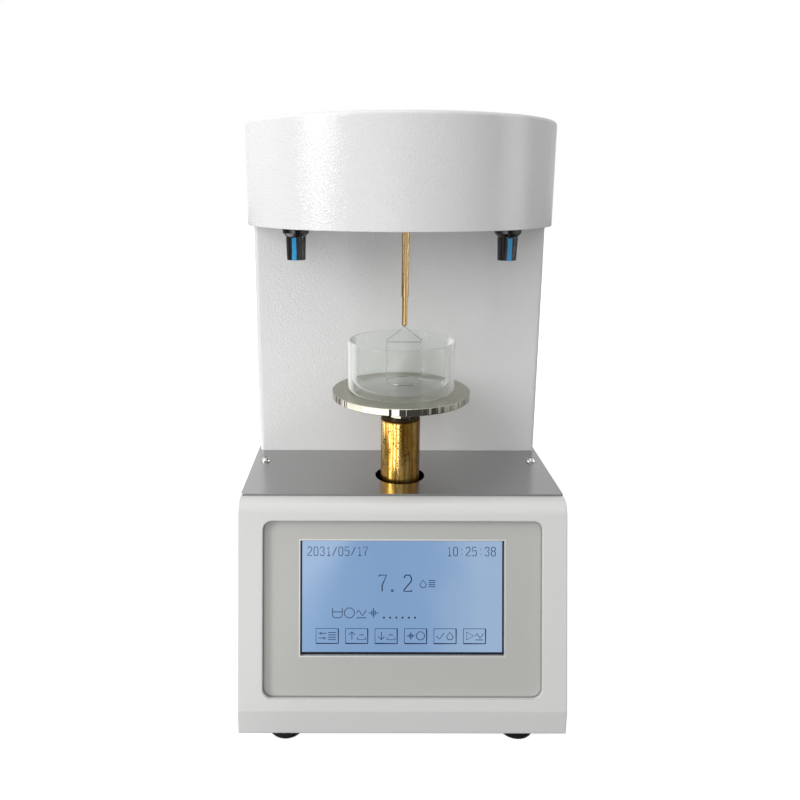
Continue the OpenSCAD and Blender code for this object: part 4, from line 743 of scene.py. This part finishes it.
write(thin_lines, "2031/05/17", 3.4, TOP_LINE, TOP_TALL, 3.3)
write(thin_lines, "10:25:38", 77.5, TOP_LINE, TOP_TALL, 3.35)
write(bold_lines, "7.2", 41.0, 18.9, 8.6, 6.6)
draw(thin_lines, "drop", 63.0, 21.4, 4.2)
draw(thin_lines, "bars", 68.0, 21.4, 3.6)
for i, sign in enumerate(("glass", "ring", "wave", "cross")):
    draw(thin_lines, sign, NOTE_LEFT + i * NOTE_PITCH, NOTE_TOP, NOTE_TALL)
for i in range(6):
    draw(bold_lines, ".", DOT_LEFT + i * DOT_PITCH, DOT_TOP, DOT_TALL, 1)
for i, signs in enumerate(KEY_SIGNS):
    left = KEY_LEFT + i * KEY_PITCH
    right = left + KEY_W
    thin_lines.append([(left, KEY_TOP), (right, KEY_TOP), (right, KEY_LOW), (left, KEY_LOW),
                       (left, KEY_TOP)])
    bold_lines.append([(right, KEY_TOP + KEY_SHADE), (right, KEY_LOW),
                       (left + KEY_SHADE, KEY_LOW)])
    for sign, sign_left in zip(signs, SIGN_PLACES):
        draw(thin_lines, sign, left + sign_left, SIGN_TOP, SIGN_TALL)
print("screen strokes", len(thin_lines) + len(bold_lines))

# %% The ink tree
ink_tree, start, end = size_tree("ink_strokes", "Stroke width", "Film share")
path = add(ink_tree, "GeometryNodeMeshToCurve", Mesh=start.outputs["Geometry"])
half_width = reckon(ink_tree, "MULTIPLY", start.outputs["Stroke width"], 0.5)
nib = add(ink_tree, "GeometryNodeCurvePrimitiveCircle", Resolution=6, Radius=half_width)
line = add(ink_tree, "GeometryNodeCurveToMesh", Curve=path.outputs[0],
           Profile_Curve=nib.outputs[0], Fill_Caps=True)
pressed = add(ink_tree, "ShaderNodeCombineXYZ", X=1.0, Y=1.0, Z=start.outputs["Film share"])
at = add(ink_tree, "GeometryNodeInputPosition").outputs[0]
flattened = add(ink_tree, "ShaderNodeVectorMath", {"operation": "MULTIPLY"}, in0=at,
                in1=pressed.outputs[0])
film = add(ink_tree, "GeometryNodeSetPosition", Geometry=line.outputs[0],
           Position=flattened.outputs[0])
close_tree(ink_tree, end, film.outputs[0], screen_ink)

# %% [markdown]
# ## The front face's own plane
# The sloping face leans back 12.66 degrees. Everything on it is drawn flat, in X and Y,
# and one matrix stands it up: X stays, Y climbs the slope and Z comes out of the face.

# %% The face's plane
FACE_LEAN = 12.66
FACE_START = Vector((0, LIFT_AXIS_Y - 35.3 * MM, DECK_Z))
DISPLAY_MIDDLE, GLASS_FRONT, PANEL_FRONT = -52.2, -5.0, -3.0

stand_up = Euler((math.radians(90 - FACE_LEAN), 0, 0)).to_matrix().to_4x4()
face = Matrix.Translation(FACE_START) @ stand_up


def on_face(x, y, out):
    """A point of the face's plane in millimetres, in the scene."""
    return face @ Vector((x * MM, y * MM, out * MM))


def from_display(u, v):
    """Display millimetres, from its top left corner, to the face's plane in metres."""
    return (u - DISPLAY_W / 2) * MM, (DISPLAY_MIDDLE + DISPLAY_H / 2 - v) * MM


print("display middle at", [round(v, 3) for v in on_face(0, DISPLAY_MIDDLE, GLASS_FRONT)])

# %% Lay the ink on the display
THIN_STROKE, BOLD_STROKE = 0.4 * MM, 0.66 * MM
FILM_SHARE = 0.05        # the film's thickness as a share of the stroke's width
INK_ABOVE_GLASS = 0.03   # millimetres

for name, chains, width in (("screen_figures", thin_lines, THIN_STROKE),
                            ("screen_reading", bold_lines, BOLD_STROKE)):
    corners, edges = [], []
    for chain in chains:
        closed = chain[0] == chain[-1]
        ring_points = chain[:-1] if closed else chain
        first = len(corners)
        corners += [(*from_display(u, v), 0.0) for u, v in ring_points]
        edges += [(first + i, first + i + 1) for i in range(len(ring_points) - 1)]
        if closed:
            edges.append((len(corners) - 1, first))
    strokes = bpy.data.meshes.new(name)
    strokes.from_pydata(corners, edges, [])
    ink = grow(strokes, ink_tree, {"Stroke width": width, "Film share": FILM_SHARE})
    ink.transform(face @ Matrix.Translation((0, 0, (GLASS_FRONT + INK_ABOVE_GLASS) * MM)))
    place_piece(name, ink, "frame")

# %% [markdown]
# ## The display's border and trim
# Round the lit area runs a dark navy border, a little wider at the bottom, and the
# panel's opening has a thin chamfer, painted paler than the panel as a painted highlight.
# Both are frames with four sides: a loop of corners outside, a loop inside, and a band
# between them.

# %% Border and trim
BORDER_THICK = 0.02
TRIM_OUT, TRIM_OUTER_THICK, TRIM_INNER_THICK = 0.6, 0.05, 0.2


def frame_band(name, outer, inner, heights, material):
    """A closed frame. outer and inner are (left, right, low, high), heights three levels."""
    def loop(edges, out):
        left, right, low, high = edges
        turns = ((left, low), (right, low), (right, high), (left, high))
        return [on_face(x, y, out) for x, y in turns]

    back, outer_front, inner_front = heights
    loops = [loop(outer, back), loop(outer, outer_front), loop(inner, inner_front),
             loop(inner, back)]
    corners = [corner for one in loops for corner in one]
    quads = []
    for ring in range(4):
        after = (ring + 1) % 4
        for i in range(4):
            j = (i + 1) % 4
            quads.append((ring * 4 + i, ring * 4 + j, after * 4 + j, after * 4 + i))
    mesh = bpy.data.meshes.new(name)
    mesh.from_pydata(corners, [], quads)
    solid = bmesh.new()
    solid.from_mesh(mesh)
    bmesh.ops.recalc_face_normals(solid, faces=solid.faces)
    solid.to_mesh(mesh)
    solid.free()
    mesh.materials.append(material)
    place_piece(name, mesh, "frame", 20)


def display_grown(sides, below, above):
    """(left, right, low, high) of the display, grown by so many millimetres."""
    low, high = DISPLAY_MIDDLE - DISPLAY_H / 2, DISPLAY_MIDDLE + DISPLAY_H / 2
    return -DISPLAY_W / 2 - sides, DISPLAY_W / 2 + sides, low - below, high + above


frame_band("display_border", display_grown(1, 1, 1), display_grown(-0.9, -1.3, -0.7),
           (GLASS_FRONT, GLASS_FRONT + BORDER_THICK, GLASS_FRONT + BORDER_THICK),
           border_navy)
frame_band("display_trim", display_grown(TRIM_OUT, TRIM_OUT, TRIM_OUT), display_grown(0, 0, 0),
           (PANEL_FRONT, PANEL_FRONT + TRIM_OUTER_THICK, PANEL_FRONT + TRIM_INNER_THICK),
           highlight_trim_paint)

# %% [markdown]
# ## Floor
# The instrument stands on white paper. The camera sees it as plain white, with only the
# instrument's own shade left on it. Shiny parts need something uneven to mirror, or they
# look like plaster. So mirror rays, and they alone, find a row of white and dark cards
# on the floor around and before the instrument.

# %% Floor
FLOOR_HALF = 6
PAPER_IN_VIEW = 0.92                 # how bright the paper is to the camera; 1 is white
CARD_STRENGTH = 3.2
CARDS_END, CARDS_FULL = 0.25, 0.15   # the cards fade out between these places along Y


def seen_plainly(tree, rays):
    """1 for what the camera sees, directly or through glass, and 0 for other rays."""
    past_glass = reckon(tree, "GREATER_THAN", rays.outputs["Transmission Depth"], 0.5)
    return reckon(tree, "MAXIMUM", rays.outputs["Is Camera Ray"], past_glass)


floor_mesh = bpy.data.meshes.new("white_table_top")
floor_mesh.from_pydata([(-FLOOR_HALF, -FLOOR_HALF, 0), (FLOOR_HALF, -FLOOR_HALF, 0),
                        (FLOOR_HALF, FLOOR_HALF, 0), (-FLOOR_HALF, FLOOR_HALF, 0)],
                       [], [(0, 1, 2, 3)])
floor = bpy.data.objects.new("white_table_top", floor_mesh)
bpy.context.scene.collection.objects.link(floor)
floor_white, tree, shader = finish("white_floor_paper", Roughness=0.9,
                                   Base_Color=linear("#A2A2A2"), Emission_Color=linear("#FFFFFF"))
rays = add(tree, "ShaderNodeLightPath")
in_view = reckon(tree, "MULTIPLY", seen_plainly(tree, rays), PAPER_IN_VIEW)
connect(tree, shader, Emission_Strength=in_view)
spot = add(tree, "ShaderNodeSeparateXYZ", Vector=object_place(tree))
sideways = carry(tree, spot.outputs["X"], (-1.0, 1.0))
cards = ramp(tree, sideways, (0.1, "#3A3A3A"), (0.25, "#FFFFFF"), (0.43, "#FFFFFF"),
             (0.47, "#363636"), (0.61, "#2D2D2D"), (0.625, "#646464"), (0.64, "#2D2D2D"),
             (0.74, "#333333"), (0.84, "#9E9E9E"))
mirrored = add(tree, "ShaderNodeEmission", Color=cards, Strength=CARD_STRENGTH).outputs[0]
front_only = carry(tree, spot.outputs["Y"], (CARDS_END, CARDS_FULL))
swap = reckon(tree, "MULTIPLY", rays.outputs["Is Glossy Ray"], front_only)
show(tree, mix_shaders(tree, swap, shader.outputs[0], mirrored))
floor_mesh.materials.append(floor_white)
print("floor", 2 * FLOOR_HALF, "m square")

# %% [markdown]
# ## World
# To the camera the room is white too. As light it comes mostly from the left and the
# front, a little from above, and some from behind for whoever looks at the back. Mirror
# rays find another room: deep grey in front, bright behind and above, and weaker on the
# right, so that each shiny piece has a light and a dark side.

# %% World
world = bpy.data.worlds.new("studio")
bpy.context.scene.world = world
world.use_nodes = True
tree = world.node_tree
rays = add(tree, "ShaderNodeLightPath")
way = add(tree, "ShaderNodeSeparateXYZ",
          Vector=add(tree, "ShaderNodeTexCoord").outputs["Generated"])
to_right, to_back, to_sky = way.outputs["X"], way.outputs["Y"], way.outputs["Z"]

# The soft light is a sum: from the left, then the front, the sky and the back.
soft_fill = carry(tree, to_right, (-1.0, 1.0), (0.6, 0.05))
for direction, given, result in ((to_back, (-1.0, 0.0), (0.62, 0.0)),
                                 (to_sky, (0.0, 1.0), (0.0, 0.15)),
                                 (to_back, (0.1, 0.8), (0.0, 0.45))):
    soft_fill = reckon(tree, "ADD", soft_fill, carry(tree, direction, given, result))

# What mirrors find is the brightest of the back, the right and the sky.
bright_side = carry(tree, to_back, (-0.1, 0.25))
for direction, given, result in ((to_right, (0.1, 0.5), (0.0, 0.5)),
                                 (to_sky, (0.15, 0.5), (0.0, 1.0))):
    bright_side = reckon(tree, "MAXIMUM", bright_side, carry(tree, direction, given, result))
shaded_right = carry(tree, to_right, (-0.05, 0.3), (1.0, 0.7))
mirrored = carry(tree, bright_side, result=(0.25, shaded_right))

out_of_view = add(tree, "ShaderNodeMix", Factor=rays.outputs["Is Glossy Ray"], A=soft_fill,
                  B=mirrored).outputs[0]
level = add(tree, "ShaderNodeMix", Factor=seen_plainly(tree, rays), A=out_of_view, B=1.0)
background = tree.nodes["Background"]
background.inputs["Color"].default_value = linear("#FFFFFF")
tree.links.new(level.outputs[0], background.inputs["Strength"])
print("the world has", len(tree.nodes), "nodes")

# %% [markdown]
# ## Lamps
# A tall soft box stands left of the camera and lights everything. Two narrow strips are
# there for gloss alone: they draw the glittering bands on the head, and light nothing
# else. A weak box above keeps the deck and the table from going dull.

# %% Lamps
AIM_Z = 0.18   # the height that every lamp looks at


def lamp(name, azimuth, height, distance, size, watts, gloss_only=False):
    """A soft box that looks at the lift axis. Azimuth 0 is straight in front."""
    light = bpy.data.lights.new(name, "AREA")
    light.shape = "RECTANGLE"
    light.size, light.size_y = size
    light.energy = watts
    made = bpy.data.objects.new(name, light)
    turn = math.radians(azimuth)
    made.location = (math.sin(turn) * distance, LIFT_AXIS_Y - math.cos(turn) * distance, height)
    aim = Vector((0, LIFT_AXIS_Y, AIM_Z)) - made.location
    made.rotation_euler = aim.to_track_quat("-Z", "Y").to_euler()
    made.visible_diffuse = not gloss_only
    bpy.context.scene.collection.objects.link(made)
    print(name, watts, "W at", [round(v, 2) for v in made.location])


lamp("key_soft_box", -60, 0.8, 1.6, (0.45, 1.3), 14.5)
lamp("left_strip", -64, 0.7, 1.5, (0.12, 1.4), 3, gloss_only=True)
lamp("right_strip", 88, 0.7, 1.4, (0.03, 1.4), 5.5, gloss_only=True)
lamp("top_soft_box", 0, 1.6, 0.3, (0.6, 0.6), 1.5)
